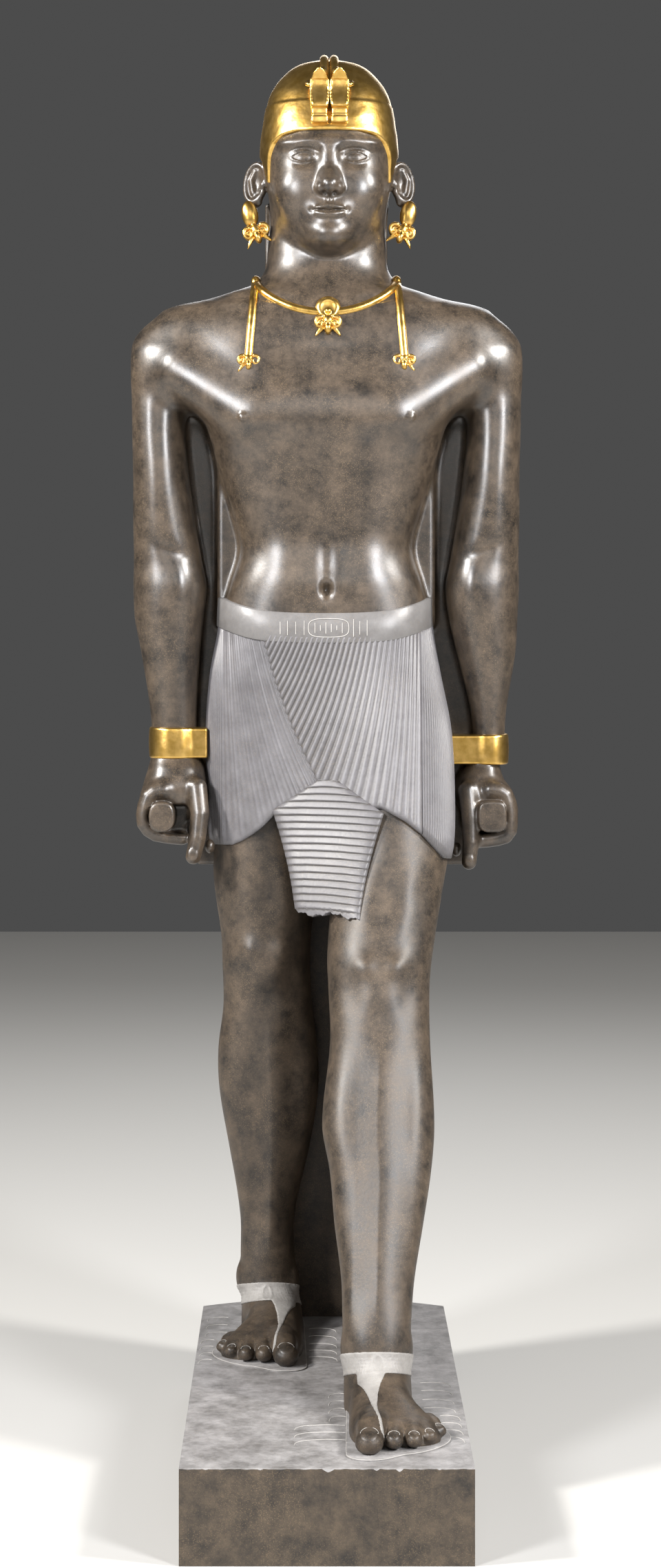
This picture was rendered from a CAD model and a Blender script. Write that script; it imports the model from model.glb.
# %% [markdown]
# # A striding king in dark stone, with gilded ornaments
#
# The statue is carved from one block: figure, back pillar, webs and plinth. Its finishes tell the
# pieces apart: polished flesh, matt pale cloth and sandals, and gold leaf on crown and jewellery.
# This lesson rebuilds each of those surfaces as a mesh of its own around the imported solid. All sizes
# are in metres in the solid's frame: +Z is up, the figure looks towards -Y, and the origin is the
# middle of the plinth's underside.

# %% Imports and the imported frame
import math

import bmesh
import bpy
import numpy as np
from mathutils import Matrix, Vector


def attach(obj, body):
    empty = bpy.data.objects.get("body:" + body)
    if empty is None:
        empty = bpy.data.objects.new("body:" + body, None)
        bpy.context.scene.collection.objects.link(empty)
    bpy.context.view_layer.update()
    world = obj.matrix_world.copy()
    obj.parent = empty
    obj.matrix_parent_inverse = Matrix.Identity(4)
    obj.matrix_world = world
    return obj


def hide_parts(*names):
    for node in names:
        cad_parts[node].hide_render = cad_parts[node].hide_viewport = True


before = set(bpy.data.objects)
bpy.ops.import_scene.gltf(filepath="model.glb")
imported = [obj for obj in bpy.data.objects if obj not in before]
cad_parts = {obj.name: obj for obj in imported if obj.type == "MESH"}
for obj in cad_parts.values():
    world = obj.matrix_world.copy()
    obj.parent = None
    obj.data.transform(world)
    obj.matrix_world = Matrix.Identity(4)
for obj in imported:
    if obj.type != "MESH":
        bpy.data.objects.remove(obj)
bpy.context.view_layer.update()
SOLID = "striding_pharaoh_statue"

# %% [markdown]
# ## Camera, floor and light
#
# The picture was taken from standing eye height, level with the belt, by a camera that looks straight
# ahead. The statue's foot is far below the middle of the view, so the lens is shifted down instead of
# tilted, which keeps the uprights parallel. Two small lamps high at the sides give the bright edges of
# shoulders and arms, the left one a little stronger. Two tall lamps in front give the long highlights
# that run down arms, thighs and shins, and two wide ones keep the shadows open in front and behind.

# %% Camera
EYE = (-0.031, -5.41, 1.607)
LENS_MM = 65.47
SENSOR_MM = 36.0
SHIFT = (0.014, -0.1087)

camera_data = bpy.data.cameras.new("camera")
camera_data.lens = LENS_MM
camera_data.sensor_width = SENSOR_MM
camera_data.shift_x, camera_data.shift_y = SHIFT
camera = bpy.data.objects.new("camera", camera_data)
camera.location = EYE
camera.rotation_euler = (math.pi / 2, 0, 0)
bpy.context.scene.collection.objects.link(camera)
bpy.context.scene.camera = camera
print("camera at", EYE)


# %% Lamps and surroundings
def area_lamp(name, place, target, size, watts, colour, tall=None):
    data = bpy.data.lights.new(name, "AREA")
    data.shape = "ELLIPSE"
    data.size = size
    data.size_y = tall or size
    data.energy = watts
    data.color = colour
    lamp = bpy.data.objects.new(name, data)
    lamp.location = place
    aim = Vector(target) - Vector(place)
    lamp.rotation_euler = aim.to_track_quat("-Z", "Y").to_euler()
    bpy.context.scene.collection.objects.link(lamp)
    return lamp


CHEST = (0, 0.2, 1.7)
area_lamp("side_left", (-4.5, -1.75, 4.5), CHEST, 0.7, 520, (1.0, 0.97, 0.93))
area_lamp("side_right", (4.5, -1.95, 4.5), CHEST, 0.7, 430, (1.0, 0.97, 0.93))
area_lamp("front_left", (-3.1, -3.7, 3.1), CHEST, 1.0, 250, (0.98, 0.98, 1.0), 2.0)
area_lamp("front_right", (3.0, -3.8, 3.1), CHEST, 1.0, 270, (0.98, 0.98, 1.0), 2.0)
area_lamp("soft_front", (0, -6.5, 3.4), (0, 0, 1.2), 2.5, 50, (1.0, 0.98, 0.95))
area_lamp("soft_back", (0.5, 4.5, 4.0), (0, 0.3, 1.4), 2.5, 60, (0.95, 0.97, 1.0))

world = bpy.data.worlds.new("studio")
world.use_nodes = True
world.node_tree.nodes["Background"].inputs["Color"].default_value = (0.30, 0.30, 0.30, 1)
world.node_tree.nodes["Background"].inputs["Strength"].default_value = 0.24
bpy.context.scene.world = world
bpy.context.scene.view_settings.view_transform = "Standard"

# %% [markdown]
# ## Modelling clay
#
# Flesh has no edges to build from: a shoulder runs into a chest, and a nose into a cheek. Such forms
# are easier to describe as a *field*, a function that says for any point how far outside the surface
# it lies (negative is inside). Joining two fields with a little softness gives the fillet a carver
# leaves. The surface is then found where the field is zero. A voxel remesh of joined meshes would do
# much the same, but a field keeps every form a named formula and lets each point be set exactly on
# the surface afterwards.

# %% Joining, cutting and simple forms
MM = 0.001


def soft_join(a, b, radius):
    share = np.clip(0.5 + 0.5 * (b - a) / radius, 0, 1)
    return b + (a - b) * share - radius * share * (1 - share)


def soft_keep(body, bound, radius):
    return -soft_join(-body, -bound, radius)


def soft_cut(body, tool, radius):
    return soft_keep(body, -tool, radius)


def bump(distance, spread):
    return np.exp(-((distance / spread) ** 2))


def ramp(start, end, value):
    share = np.clip((value - start) / (end - start), 0, 1)
    return share * share * (3 - 2 * share)


def turned(p, centre, angles):
    """Points seen from a form's own place, after turns about X, Y and Z in degrees."""
    q = p - np.array(centre, np.float32)
    for axis, angle in enumerate(angles):
        if angle:
            c, s = math.cos(math.radians(-angle)), math.sin(math.radians(-angle))
            u, v = (axis + 1) % 3, (axis + 2) % 3
            a, b = q[:, u].copy(), q[:, v].copy()
            q[:, u], q[:, v] = c * a - s * b, s * a + c * b
    return q


def egg(p, centre, radii, angles=(0, 0, 0)):
    q = turned(p, centre, angles)
    r = np.array(radii, np.float32)
    near = np.linalg.norm(q / r, axis=1) + 1e-9
    slope = np.linalg.norm(q / (r * r), axis=1) + 1e-9
    return near * (near - 1) / slope


def rod(p, start, end, r0, r1):
    a, b = np.array(start, np.float32), np.array(end, np.float32)
    along = b - a
    t = np.clip((p - a) @ along / (along @ along), 0, 1)
    gap = np.linalg.norm(p - a - t[:, None] * along, axis=1)
    return gap - (r0 + (r1 - r0) * t)


def chain(p, joints):
    """Rods through several (x, y, z, radius) joints."""
    found = None
    for a, b in zip(joints, joints[1:]):
        piece = rod(p, a[:3], b[:3], a[3], b[3])
        found = piece if found is None else np.minimum(found, piece)
    return found


def brick(p, low, high, edge=0.0):
    middle = (np.array(low) + np.array(high)) / 2
    half = (np.array(high) - np.array(low)) / 2 - edge
    q = np.abs(p - middle.astype(np.float32)) - half.astype(np.float32)
    outside = np.linalg.norm(np.maximum(q, 0), axis=1)
    return outside + np.minimum(q.max(axis=1), 0) - edge


# %% Slices stacked into a limb
def fill_between(stations, rows=240):
    """A smooth curve through hand-set stations, sampled closely enough to interpolate in."""
    s = np.array(stations, float)
    at = np.linspace(s[0, 0], s[-1, 0], rows)
    i = np.clip(np.searchsorted(s[:, 0], at, side="right") - 1, 0, len(s) - 2)
    p, q = s[i], s[i + 1]
    before, after = s[np.maximum(i - 1, 0)], s[np.minimum(i + 2, len(s) - 1)]
    span = (q - p)[:, :1]
    t = ((at - p[:, 0]) / span[:, 0])[:, None]
    leave = (q - before) / (q - before)[:, :1] * span
    reach = (after - p) / (after - p)[:, :1] * span
    value = (2 * t**3 - 3 * t**2 + 1) * p + (t**3 - 2 * t**2 + t) * leave
    value += (3 * t**2 - 2 * t**3) * q + (t**3 - t**2) * reach
    value[:, 0] = at
    return (value * MM).astype(np.float32)


def read_curve(curve, at):
    """All the measures of a curve at a place along it."""
    return [np.interp(at, curve[:, 0], curve[:, k]) for k in range(1, curve.shape[1])]


def oval_gap(a, b, half_a, half_b, power):
    """Roughly how far a point is outside an oval whose corners grow squarer with the power."""
    u, v = np.abs(a) / half_a, np.abs(b) / half_b
    r = (u**power + v**power) ** (1 / power) + 1e-6
    slope = np.hypot((u / r) ** (power - 1) / half_a, (v / r) ** (power - 1) / half_b)
    return (r - 1) / slope


def limb(p, table, power=2.2, grow=0.0):
    """Level slices of (z, x, y, half width, depth in front, depth behind)."""
    z = np.clip(p[:, 2], table[0, 0], table[-1, 0])
    x, y, w, front, back = read_curve(table, z)
    dx, dy = p[:, 0] - x, p[:, 1] - y
    depth = np.where(dy < 0, front, back)
    side = oval_gap(dx, dy, w + grow, depth + grow, power)
    return np.maximum(side, np.maximum(table[0, 0] - p[:, 2], p[:, 2] - table[-1, 0]))


print("a test limb has", len(fill_between([(0, 0, 0, 1, 1, 1), (9, 0, 0, 2, 2, 2)])), "slices")

# %% [markdown]
# The skin of a field is found with *surface nets*: space is cut into small cells, every cell that the
# surface passes through gets one point, and neighbouring points are joined into four-sided faces. To
# save time the field is first asked at coarse blocks, and only blocks near the surface are filled in.
# Afterwards each point slides along the field's slope until it lies on the surface, so the mesh is
# smooth however coarse the cells are.

# %% From field to mesh
BLOCK = 5
CHUNK = 300000


def ask(field, points):
    parts = [field(points[i:i + CHUNK]) for i in range(0, len(points), CHUNK)]
    return np.concatenate(parts).astype(np.float32)


def grid_axis(low, high, cell):
    """Places of the cells' corners along one axis: a fixed step, or (until, step) pairs."""
    stretches = cell if isinstance(cell, list) else [(high, cell)]
    places = [low]
    for until, step in stretches:
        count = max(1, round((until - places[-1]) / step))
        places += list(np.linspace(places[-1], until, count + 1)[1:])
    spare = -len(places) % BLOCK
    step = places[-1] - places[-2]
    return np.array(places + [places[-1] + step * (k + 1) for k in range(spare)], np.float32)


def sample(field, axes):
    blocks = [len(axis) // BLOCK for axis in axes]
    index = np.stack(np.meshgrid(*[np.arange(n) for n in blocks], indexing="ij"), -1).reshape(-1, 3)
    middle = [axis[BLOCK // 2::BLOCK] for axis in axes]
    rough = ask(field, np.stack([middle[k][index[:, k]] for k in range(3)], 1))
    grid = np.repeat(np.repeat(np.repeat(rough.reshape(blocks), BLOCK, 0), BLOCK, 1), BLOCK, 2)
    reach = max(np.diff(axis).max() for axis in axes) * BLOCK * 1.5
    near = index[np.abs(rough) < reach]
    steps = np.stack(np.meshgrid(*[np.arange(BLOCK)] * 3, indexing="ij"), -1).reshape(-1, 3)
    fine = (near[:, None, :] * BLOCK + steps[None]).reshape(-1, 3)
    grid[tuple(fine.T)] = ask(field, np.stack([axes[k][fine[:, k]] for k in range(3)], 1))
    return grid


def surface_nets(grid):
    inside = grid < 0
    offsets = [(i, j, k) for i in (0, 1) for j in (0, 1) for k in (0, 1)]
    cells = [n - 1 for n in grid.shape]
    count = np.zeros(cells, np.int8)
    for i, j, k in offsets:
        count += inside[i:i + cells[0], j:j + cells[1], k:k + cells[2]]
    crossed = (count > 0) & (count < 8)
    where = np.argwhere(crossed)
    number = np.full(cells, -1, np.int32)
    number[crossed] = np.arange(len(where))
    value = np.stack([grid[tuple((where + o).T)] for o in offsets], 1)
    total = np.zeros((len(where), 3))
    hits = np.zeros(len(where))
    for a in range(8):
        for b in range(a + 1, 8):
            if sum(m != n for m, n in zip(offsets[a], offsets[b])) != 1:
                continue
            cut = (value[:, a] < 0) != (value[:, b] < 0)
            t = value[:, a] / np.where(cut, value[:, a] - value[:, b], 1)
            spot = np.array(offsets[a]) + t[:, None] * (np.array(offsets[b]) - np.array(offsets[a]))
            total += np.where(cut[:, None], spot, 0)
            hits += cut
    faces = []
    for axis in range(3):
        u, v = (axis + 1) % 3, (axis + 2) % 3
        here = [slice(1, -1)] * 3
        here[axis] = slice(0, -1)
        there = list(here)
        there[axis] = slice(1, None)
        for leaving in (True, False):
            a, b = inside[tuple(here)], inside[tuple(there)]
            spot = np.argwhere(a & ~b if leaving else ~a & b)
            spot += np.array([0 if k == axis else 1 for k in range(3)])
            corners = []
            for du, dv in ((0, 0), (1, 0), (1, 1), (0, 1)):
                q = spot.copy()
                q[:, u] -= du
                q[:, v] -= dv
                corners.append(number[tuple(q.T)])
            quad = np.stack(corners, 1)
            faces.append(quad if leaving else quad[:, ::-1])
    return where + total / hits[:, None], np.concatenate(faces)


def slope_at(field, points, step):
    signs = np.array([(1, -1, -1), (-1, -1, 1), (-1, 1, -1), (1, 1, 1)], np.float32)
    return sum(s * ask(field, points + s * step)[:, None] for s in signs) / (4 * step)


def settle(field, points, faces, cell, rounds=3):
    ends = np.concatenate([faces[:, [k, (k + 1) % 4]] for k in range(4)])
    ends = np.concatenate([ends, ends[:, ::-1]])
    degree = np.bincount(ends[:, 0], minlength=len(points))[:, None]
    for turn in range(rounds):
        if turn < rounds - 1:
            mean = np.stack([
                np.bincount(ends[:, 0], points[ends[:, 1], k], len(points)) for k in range(3)
            ], 1) / degree
            points = points + 0.6 * (mean - points)
        points = points.astype(np.float32)
        value = ask(field, points)[:, None]
        slope = slope_at(field, points, cell * 0.25)
        move = value * slope / np.maximum((slope * slope).sum(1, keepdims=True), 0.05)
        points = points - np.clip(move, -cell * 0.7, cell * 0.7)
    return points


def new_mesh(name, points, faces):
    mesh = bpy.data.meshes.new(name)
    faces = faces.tolist() if isinstance(faces, np.ndarray) else faces
    mesh.from_pydata(np.asarray(points, float).tolist(), [], faces)
    mesh.validate()
    piece = bpy.data.objects.new(name, mesh)
    bpy.context.scene.collection.objects.link(piece)
    for face in mesh.polygons:
        face.use_smooth = True
    return piece


def sculpt(name, field, low, high, cell):
    steps = cell if isinstance(cell, tuple) else (cell,) * 3
    axes = [grid_axis(*limits) for limits in zip(low, high, steps)]
    spots, faces = surface_nets(sample(field, axes))
    points = np.stack([np.interp(spots[:, k], np.arange(len(axes[k])), axes[k]) for k in range(3)], 1)
    smallest = min(np.diff(axis).min() for axis in axes)
    points = settle(field, points, faces, smallest)
    piece = new_mesh(name, points, faces)
    print(name, len(faces) * 2, "triangles")
    return piece


# %% [markdown]
# ## Chest, shoulders and arms
#
# The chest is a stack of level slices, nearly flat in front and drawn in at the waist. The shoulders
# are slices that run across from arm to arm. The arms hang beside it and stay joined to it by thin
# webs of stone, set back from the front. The low relief of breast, belly and elbow is added by moving
# the surface in or out by a few millimetres.

# %% Stations of chest, shoulders and arms, in millimetres
BODY_X = 4
AXIS_Y = 300
TRUNK = [
    (1580, BODY_X, AXIS_Y, 208, 139, 147), (1610, BODY_X, AXIS_Y, 206, 140, 146),
    (1666, BODY_X, AXIS_Y, 192, 139, 142), (1735, BODY_X, AXIS_Y, 174, 131, 138),
    (1800, BODY_X, AXIS_Y, 187, 138, 142), (1885, BODY_X, AXIS_Y, 212, 151, 150),
    (1985, BODY_X, AXIS_Y, 240, 170, 158), (2045, BODY_X, AXIS_Y, 262, 166, 158),
    (2130, BODY_X, AXIS_Y, 268, 136, 148), (2200, BODY_X, AXIS_Y, 220, 108, 126),
]
SHOULDER_HALF = [
    (0, 2275, 1990, 140, 130), (155, 2256, 1990, 136, 126), (235, 2235, 2000, 120, 110),
    (322, 2212, 2030, 86, 82), (390, 2150, 2050, 50, 50),
]
SHOULDERS = [(-x, *rest) for x, *rest in SHOULDER_HALF[:0:-1]] + SHOULDER_HALF
WRISTS = {-1: (303, 45), 1: (326, 33)}
ELBOW_X = 316


def arm_stations(side):
    x, w = WRISTS[side]
    blend = [x + (ELBOW_X - x) * share for share in (0, 0.1, 0.6)]
    rows = [
        (1290, blend[0], w, 42, 44), (1400, blend[1], w + 1, 48, 50), (1530, blend[2], 59, 66, 64),
        (1600, 314, 69, 76, 70), (1662, 313, 73, 80, 76), (1715, 317, 68, 77, 78),
        (1797, 325, 62, 82, 76), (1888, 331, 56, 85, 76), (1970, 336, 54, 84, 78),
        (2045, 334, 57, 82, 80), (2128, 324, 65, 76, 78), (2158, 317, 58, 60, 62), (2178, 311, 44, 46, 48),
        (2190, 307, 26, 28, 30), (2196, 305, 8, 9, 9),
    ]
    return [(z, BODY_X + side * at, AXIS_Y, w, front, back) for z, at, w, front, back in rows]


TRUNK_CURVE = fill_between(TRUNK)
SHOULDER_CURVE = fill_between(SHOULDERS)
ARM_CURVES = {side: fill_between(arm_stations(side)) for side in (-1, 1)}
print("arm from", ARM_CURVES[1][0, 0], "to", ARM_CURVES[1][-1, 0])


# %% The field of the upper body
def shoulders(p):
    x = p[:, 0] - BODY_X * MM
    at = np.clip(x, SHOULDER_CURVE[0, 0], SHOULDER_CURVE[-1, 0])
    top, bottom, front, back = read_curve(SHOULDER_CURVE, at)
    dy, dz = p[:, 1] - AXIS_Y * MM, p[:, 2] - (top + bottom) / 2
    slice_gap = oval_gap(dy, dz, np.where(dy < 0, front, back), (top - bottom) / 2, 2.35)
    return soft_keep(slice_gap, np.abs(x) - SHOULDER_CURVE[-1, 0], 0.05)


def chest_relief(p):
    """How far the chest stands out from its slices, in metres, by place seen from the front."""
    x, z = np.abs(p[:, 0] - BODY_X * MM), p[:, 2]
    breast = 0.011 * bump(x - 0.125, 0.075) * ramp(1.935, 1.99, z) * (1 - ramp(2.0, 2.15, z))
    groove = -0.0032 * bump(x, 0.014) * ramp(1.655, 1.70, z) * (1 - ramp(1.73, 1.79, z))
    banks = 0.0022 * bump(x - 0.031, 0.020) * ramp(1.63, 1.67, z) * (1 - ramp(1.70, 1.77, z))
    belly = 0.004 * bump(x - 0.085, 0.045) * bump(z - 1.70, 0.06)
    middle = -0.003 * bump(x, 0.02) * ramp(1.76, 1.85, z) * (1 - ramp(1.93, 2.0, z))
    navel = -0.021 * bump(x, 0.0090) * bump(z - 1.6540, 0.0130)
    collar = 0.004 * bump(z - 2.232 - 0.1 * x, 0.014) * ramp(0.03, 0.07, x) * (1 - ramp(0.14, 0.24, x))
    front = 1 - ramp(0.24, 0.30, p[:, 1])
    return (breast + groove + banks + belly + middle + navel + collar) * front


def arm_field(p, side):
    arm = limb(p, ARM_CURVES[side], 2.3)
    x, z = (p[:, 0] - BODY_X * MM) * side, p[:, 2]
    front = 1 - ramp(0.26, 0.32, p[:, 1])
    muscle = 0.005 * bump(z - 1.662, 0.05) * bump(x - 0.288, 0.03)
    crease = -0.004 * bump(z - 1.735 - 0.4 * (x - 0.32), 0.016) * bump(x - 0.30, 0.04)
    biceps = 0.003 * bump(z - 1.86, 0.08) * bump(x - 0.335, 0.03)
    return arm - (muscle + crease + biceps) * front


def webs(p, side):
    x0 = BODY_X * MM
    upper = sorted((x0 + side * 0.15, x0 + side * 0.33))
    hip = sorted((x0 + side * 0.12, x0 + side * 0.217))
    plate = brick(p, (upper[0], 0.335, 1.30), (upper[1], 0.405, 2.06), 0.004)
    flank = brick(p, (hip[0], 0.272, 1.58), (hip[1], 0.42, 1.99), 0.010)
    return plate, flank


NECK = [
    (2180, 5, 305, 138, 108, 118), (2250, 5, 305, 128, 102, 112), (2290, 5, 304, 121, 96, 108),
    (2345, 6, 306, 118, 92, 108), (2440, 8, 312, 108, 88, 112),
]
NECK_CURVE = fill_between(NECK)
NIPPLES = {"x": (-0.158, 0.167), "z": 1.989, "size": (0.0095, 0.0055, 0.0095)}


def with_neck(body, p):
    slab = brick(p, (-0.118, 0.335, 2.24), (0.1275, 0.40, 2.43), 0.003)
    return soft_join(soft_join(body, limb(p, NECK_CURVE), 0.055), slab, 0.006)


def bare_body(p):
    body = limb(p, TRUNK_CURVE, 2.9)
    for side in (-1, 1):
        body = soft_join(body, webs(p, side)[1], 0.010)
    body = soft_join(body, shoulders(p), 0.035) - chest_relief(p)
    body = with_neck(body, p)
    for side in (-1, 1):
        fold = rod(p, (side * 0.285, 0.222, 2.085), (side * 0.152, 0.176, 1.990), 0.042, 0.030)
        body = soft_join(body, fold, 0.055)
        body = soft_join(body, arm_field(p, side), 0.030)
        body = soft_join(body, webs(p, side)[0], 0.016)
    return body


def front_of(field, x, z, first=0.10, last=0.32):
    """Where a straight line from the front first meets a field."""
    y = np.linspace(first, last, 441)
    line = np.stack([np.full(len(y), x), y, np.full(len(y), z)], 1).astype(np.float32)
    return y[np.argmax(field(line) < 0)]


NIPPLE_SPOTS = [(x, front_of(bare_body, x, NIPPLES["z"]), NIPPLES["z"]) for x in NIPPLES["x"]]
print("nipples at", [[round(float(value), 3) for value in spot] for spot in NIPPLE_SPOTS])


ARM_REACH = (0.0055, 0.3915)


def upper_body(p):
    body = bare_body(p)
    for spot in NIPPLE_SPOTS:
        body = soft_join(body, egg(p, spot, NIPPLES["size"]), 0.003)
    return soft_keep(body, np.abs(p[:, 0] - ARM_REACH[0]) - ARM_REACH[1], 0.010)


# %% Cutting a mesh along a plane and closing it
COLLAR = {"y": 0.262, "z": 2.264, "slope": 0.59}


def trim(piece, point, normal):
    """Removes what lies on the normal's side of a plane, and closes the cut with a flat face."""
    mesh = bmesh.new()
    mesh.from_mesh(piece.data)
    everything = mesh.verts[:] + mesh.edges[:] + mesh.faces[:]
    cut = bmesh.ops.bisect_plane(
        mesh, geom=everything, plane_co=point, plane_no=normal, clear_outer=True)["geom_cut"]
    rim = [e for e in cut if isinstance(e, bmesh.types.BMEdge)]
    caps = bmesh.ops.holes_fill(mesh, edges=rim, sides=0)["faces"]
    for face in caps:
        face.smooth = False
        for edge in face.edges:
            edge.smooth = False
    bmesh.ops.triangulate(mesh, faces=caps)
    bmesh.ops.recalc_face_normals(mesh, faces=mesh.faces[:])
    mesh.to_mesh(piece.data)
    mesh.free()


COLLAR_POINT = (0, COLLAR["y"], COLLAR["z"])
COLLAR_UP = Vector((0, -COLLAR["slope"], 1)).normalized()
upper = sculpt("polished_torso_and_arms", upper_body, (-0.40, 0.08, 1.335), (0.41, 0.48, 2.40), 0.0058)
trim(upper, COLLAR_POINT, COLLAR_UP)
trim(upper, (0, 0, 1.35), (0, 0, -1))

# %% [markdown]
# ## Head
#
# The face is calm and general, on the proportions of a drawing book: the eyes sit halfway up the head,
# each is a fifth of the face wide, and the nose ends halfway between brow and chin. It is built as a
# carver would: skull first, then sockets cut in, eyeballs and lids set into them, and nose, lips and
# chin added on.

# %% Stations of the skull and places in the face
HEAD_X = 10
HEAD_Y = 290
SKULL = [
    (2300, HEAD_X, HEAD_Y, 16, 46, 40), (2318, HEAD_X, HEAD_Y, 42, 96, 64),
    (2340, HEAD_X, HEAD_Y, 70, 121, 96), (2375, HEAD_X, HEAD_Y, 97, 128, 122),
    (2430, HEAD_X, HEAD_Y, 117, 128, 142), (2480, HEAD_X, HEAD_Y, 127, 129, 152),
    (2530, HEAD_X, HEAD_Y, 131, 128, 156),
    (2590, HEAD_X, 292, 124, 118, 152), (2640, HEAD_X, 294, 113, 100, 138),
    (2680, HEAD_X, 298, 86, 72, 108), (2702, HEAD_X, 300, 56, 46, 74), (2713, HEAD_X, 302, 16, 14, 26),
]
SKULL_CURVE = fill_between(SKULL)
EYE_X, EYE_Z = 0.049, 2.500


def in_head(x, forward, z):
    return (HEAD_X * MM + x, HEAD_Y * MM - forward, z)


def eye(p, face, side):
    """An eyeball in its socket, with two lids that leave an almond-shaped opening."""
    dx = (p[:, 0] - HEAD_X * MM) * side - EYE_X
    dz = p[:, 2] - EYE_Z - 0.04 * dx
    socket = egg(p, in_head(side * EYE_X, 0.137, EYE_Z + 0.003), (0.036, 0.022, 0.021))
    face = soft_cut(face, socket, 0.014)
    ball = in_head(side * (EYE_X - 0.001), 0.0925, EYE_Z)
    face = soft_join(face, egg(p, ball, (0.031, 0.0265, 0.0225)), 0.002)
    reach = np.clip(1 - (dx / 0.0285) ** 2, -1, 1)
    opening = np.maximum(dz - 0.0112 * reach, -dz - 0.0080 * reach)
    lids = soft_cut(egg(p, ball, (0.0345, 0.0300, 0.0250)), opening, 0.0004)
    face = soft_join(face, lids, 0.003)
    fold = np.abs(dz - 0.0185 * np.sqrt(np.clip(1 - (dx / 0.038) ** 2, 0, 1)))
    crease = 0.0014 * bump(fold, 0.0022) * (1 - ramp(0.024, 0.034, np.abs(dx))) * (dz > 0)
    return face + crease * (p[:, 1] < 0.25)


def nose(p, face):
    bridge = chain(p, [
        (*in_head(0, 0.1165, 2.522), 0.0100), (*in_head(0, 0.1245, 2.485), 0.0105),
        (*in_head(0, 0.1400, 2.453), 0.0130), (*in_head(0, 0.1475, 2.4430), 0.0145),
    ])
    face = soft_join(face, bridge, 0.020)
    flank = egg(p, in_head(0, 0.128, 2.449), (0.0215, 0.026, 0.022))
    face = soft_join(face, flank, 0.016)
    for side in (-1, 1):
        wing = egg(p, in_head(side * 0.0185, 0.1335, 2.4380), (0.0088, 0.0150, 0.0098), (10, side * 14, 0))
        face = soft_join(face, wing, 0.009)
    for side in (-1, 1):
        nostril = egg(p, in_head(side * 0.0095, 0.1430, 2.4265), (0.0052, 0.0095, 0.0050), (0, 0, side * 18))
        face = soft_cut(face, nostril, 0.0035)
    return face


def mouth(p, face):
    x = (p[:, 0] - HEAD_X * MM) / 0.034
    muzzle = egg(p, in_head(0, 0.098, 2.397), (0.045, 0.036, 0.026))
    face = soft_join(face, muzzle, 0.02)
    for side in (-1, 1):
        upper_lip = egg(
            p, in_head(side * 0.0120, 0.1285, 2.4020), (0.0235, 0.0125, 0.0062), (0, side * 11, side * 10))
        lower_lip = egg(
            p, in_head(side * 0.0070, 0.1270, 2.3870), (0.0235, 0.0135, 0.0076), (0, -side * 7, side * 7))
        face = soft_join(soft_join(face, upper_lip, 0.004), lower_lip, 0.004)
    level = 2.3953 + 0.0016 * x * x - 0.0012 * bump(x, 0.25)
    parting = bump(p[:, 2] - level, 0.0016) * (1 - ramp(0.75, 1.02, np.abs(x)))
    face = face + 0.0034 * parting * (p[:, 1] < 0.2)
    corner = np.hypot(np.abs(x) * 0.034 - 0.0345, p[:, 2] - 2.3966)
    face = face + 0.0026 * bump(corner, 0.0060) * (p[:, 1] < 0.25)
    groove = 0.0015 * bump(x * 0.034, 0.0040) - 0.0006 * bump(np.abs(x) * 0.034 - 0.0075, 0.003)
    return face + groove * ramp(2.404, 2.411, p[:, 2]) * (1 - ramp(2.418, 2.428, p[:, 2])) * (p[:, 1] < 0.2)


def ear(p, head, side):
    """The ear stands well out from the head: a is along its width, b up and c out of its face."""
    q = p - np.array(in_head(side * 0.146, -0.008, 2.468), np.float32)
    a = q[:, 0] * side * 0.84 + q[:, 1] * 0.54
    c = q[:, 0] * side * 0.54 - q[:, 1] * 0.84
    local = np.stack([a + 0.12 * q[:, 2], q[:, 2], c], 1).astype(np.float32)
    shell = egg(local, (0, 0, -0.004), (0.0265, 0.0400, 0.0085))
    turn = np.radians(np.linspace(-150, 185, 22))
    rim = [(0.0235 * math.cos(t), 0.0375 * math.sin(t), 0.003, 0.0050) for t in turn]
    shell = soft_join(shell, chain(local, rim), 0.004)
    shell = soft_cut(shell, egg(local, (-0.003, 0.002, 0.010), (0.0165, 0.0270, 0.0125)), 0.004)
    inner = chain(local, [
        (0.004, 0.024, 0.001, 0.0035), (0.011, 0.006, 0.002, 0.0042), (0.004, -0.019, 0.001, 0.004)])
    shell = soft_join(shell, inner, 0.005)
    flap = egg(local, (-0.0195, -0.006, 0.003), (0.0055, 0.0095, 0.0070))
    lobe = egg(local, (-0.006, -0.037, 0.0), (0.0125, 0.0120, 0.0070))
    shell = soft_join(soft_join(shell, flap, 0.004), lobe, 0.006)
    return soft_join(head, shell, 0.006)


def head(p):
    face = limb(p, SKULL_CURVE, 2.25)
    for side in (-1, 1):
        face = soft_join(face, egg(p, in_head(side * 0.057, 0.085, 2.440), (0.042, 0.036, 0.040)), 0.035)
        brow_ridge = egg(p, in_head(side * 0.046, 0.1045, 2.530), (0.050, 0.020, 0.010), (0, 0, side * 14))
        face = soft_join(face, brow_ridge, 0.014)
    face = soft_join(face, egg(p, in_head(0, 0.105, 2.352), (0.030, 0.032, 0.023)), 0.028)
    for side in (-1, 1):
        face = eye(p, face, side)
    face = mouth(p, nose(p, face))
    body = with_neck(shoulders(p) - chest_relief(p), p)
    whole = soft_join(face, body, 0.022)
    for side in (-1, 1):
        whole = ear(p, whole, side)
    return whole


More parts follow.
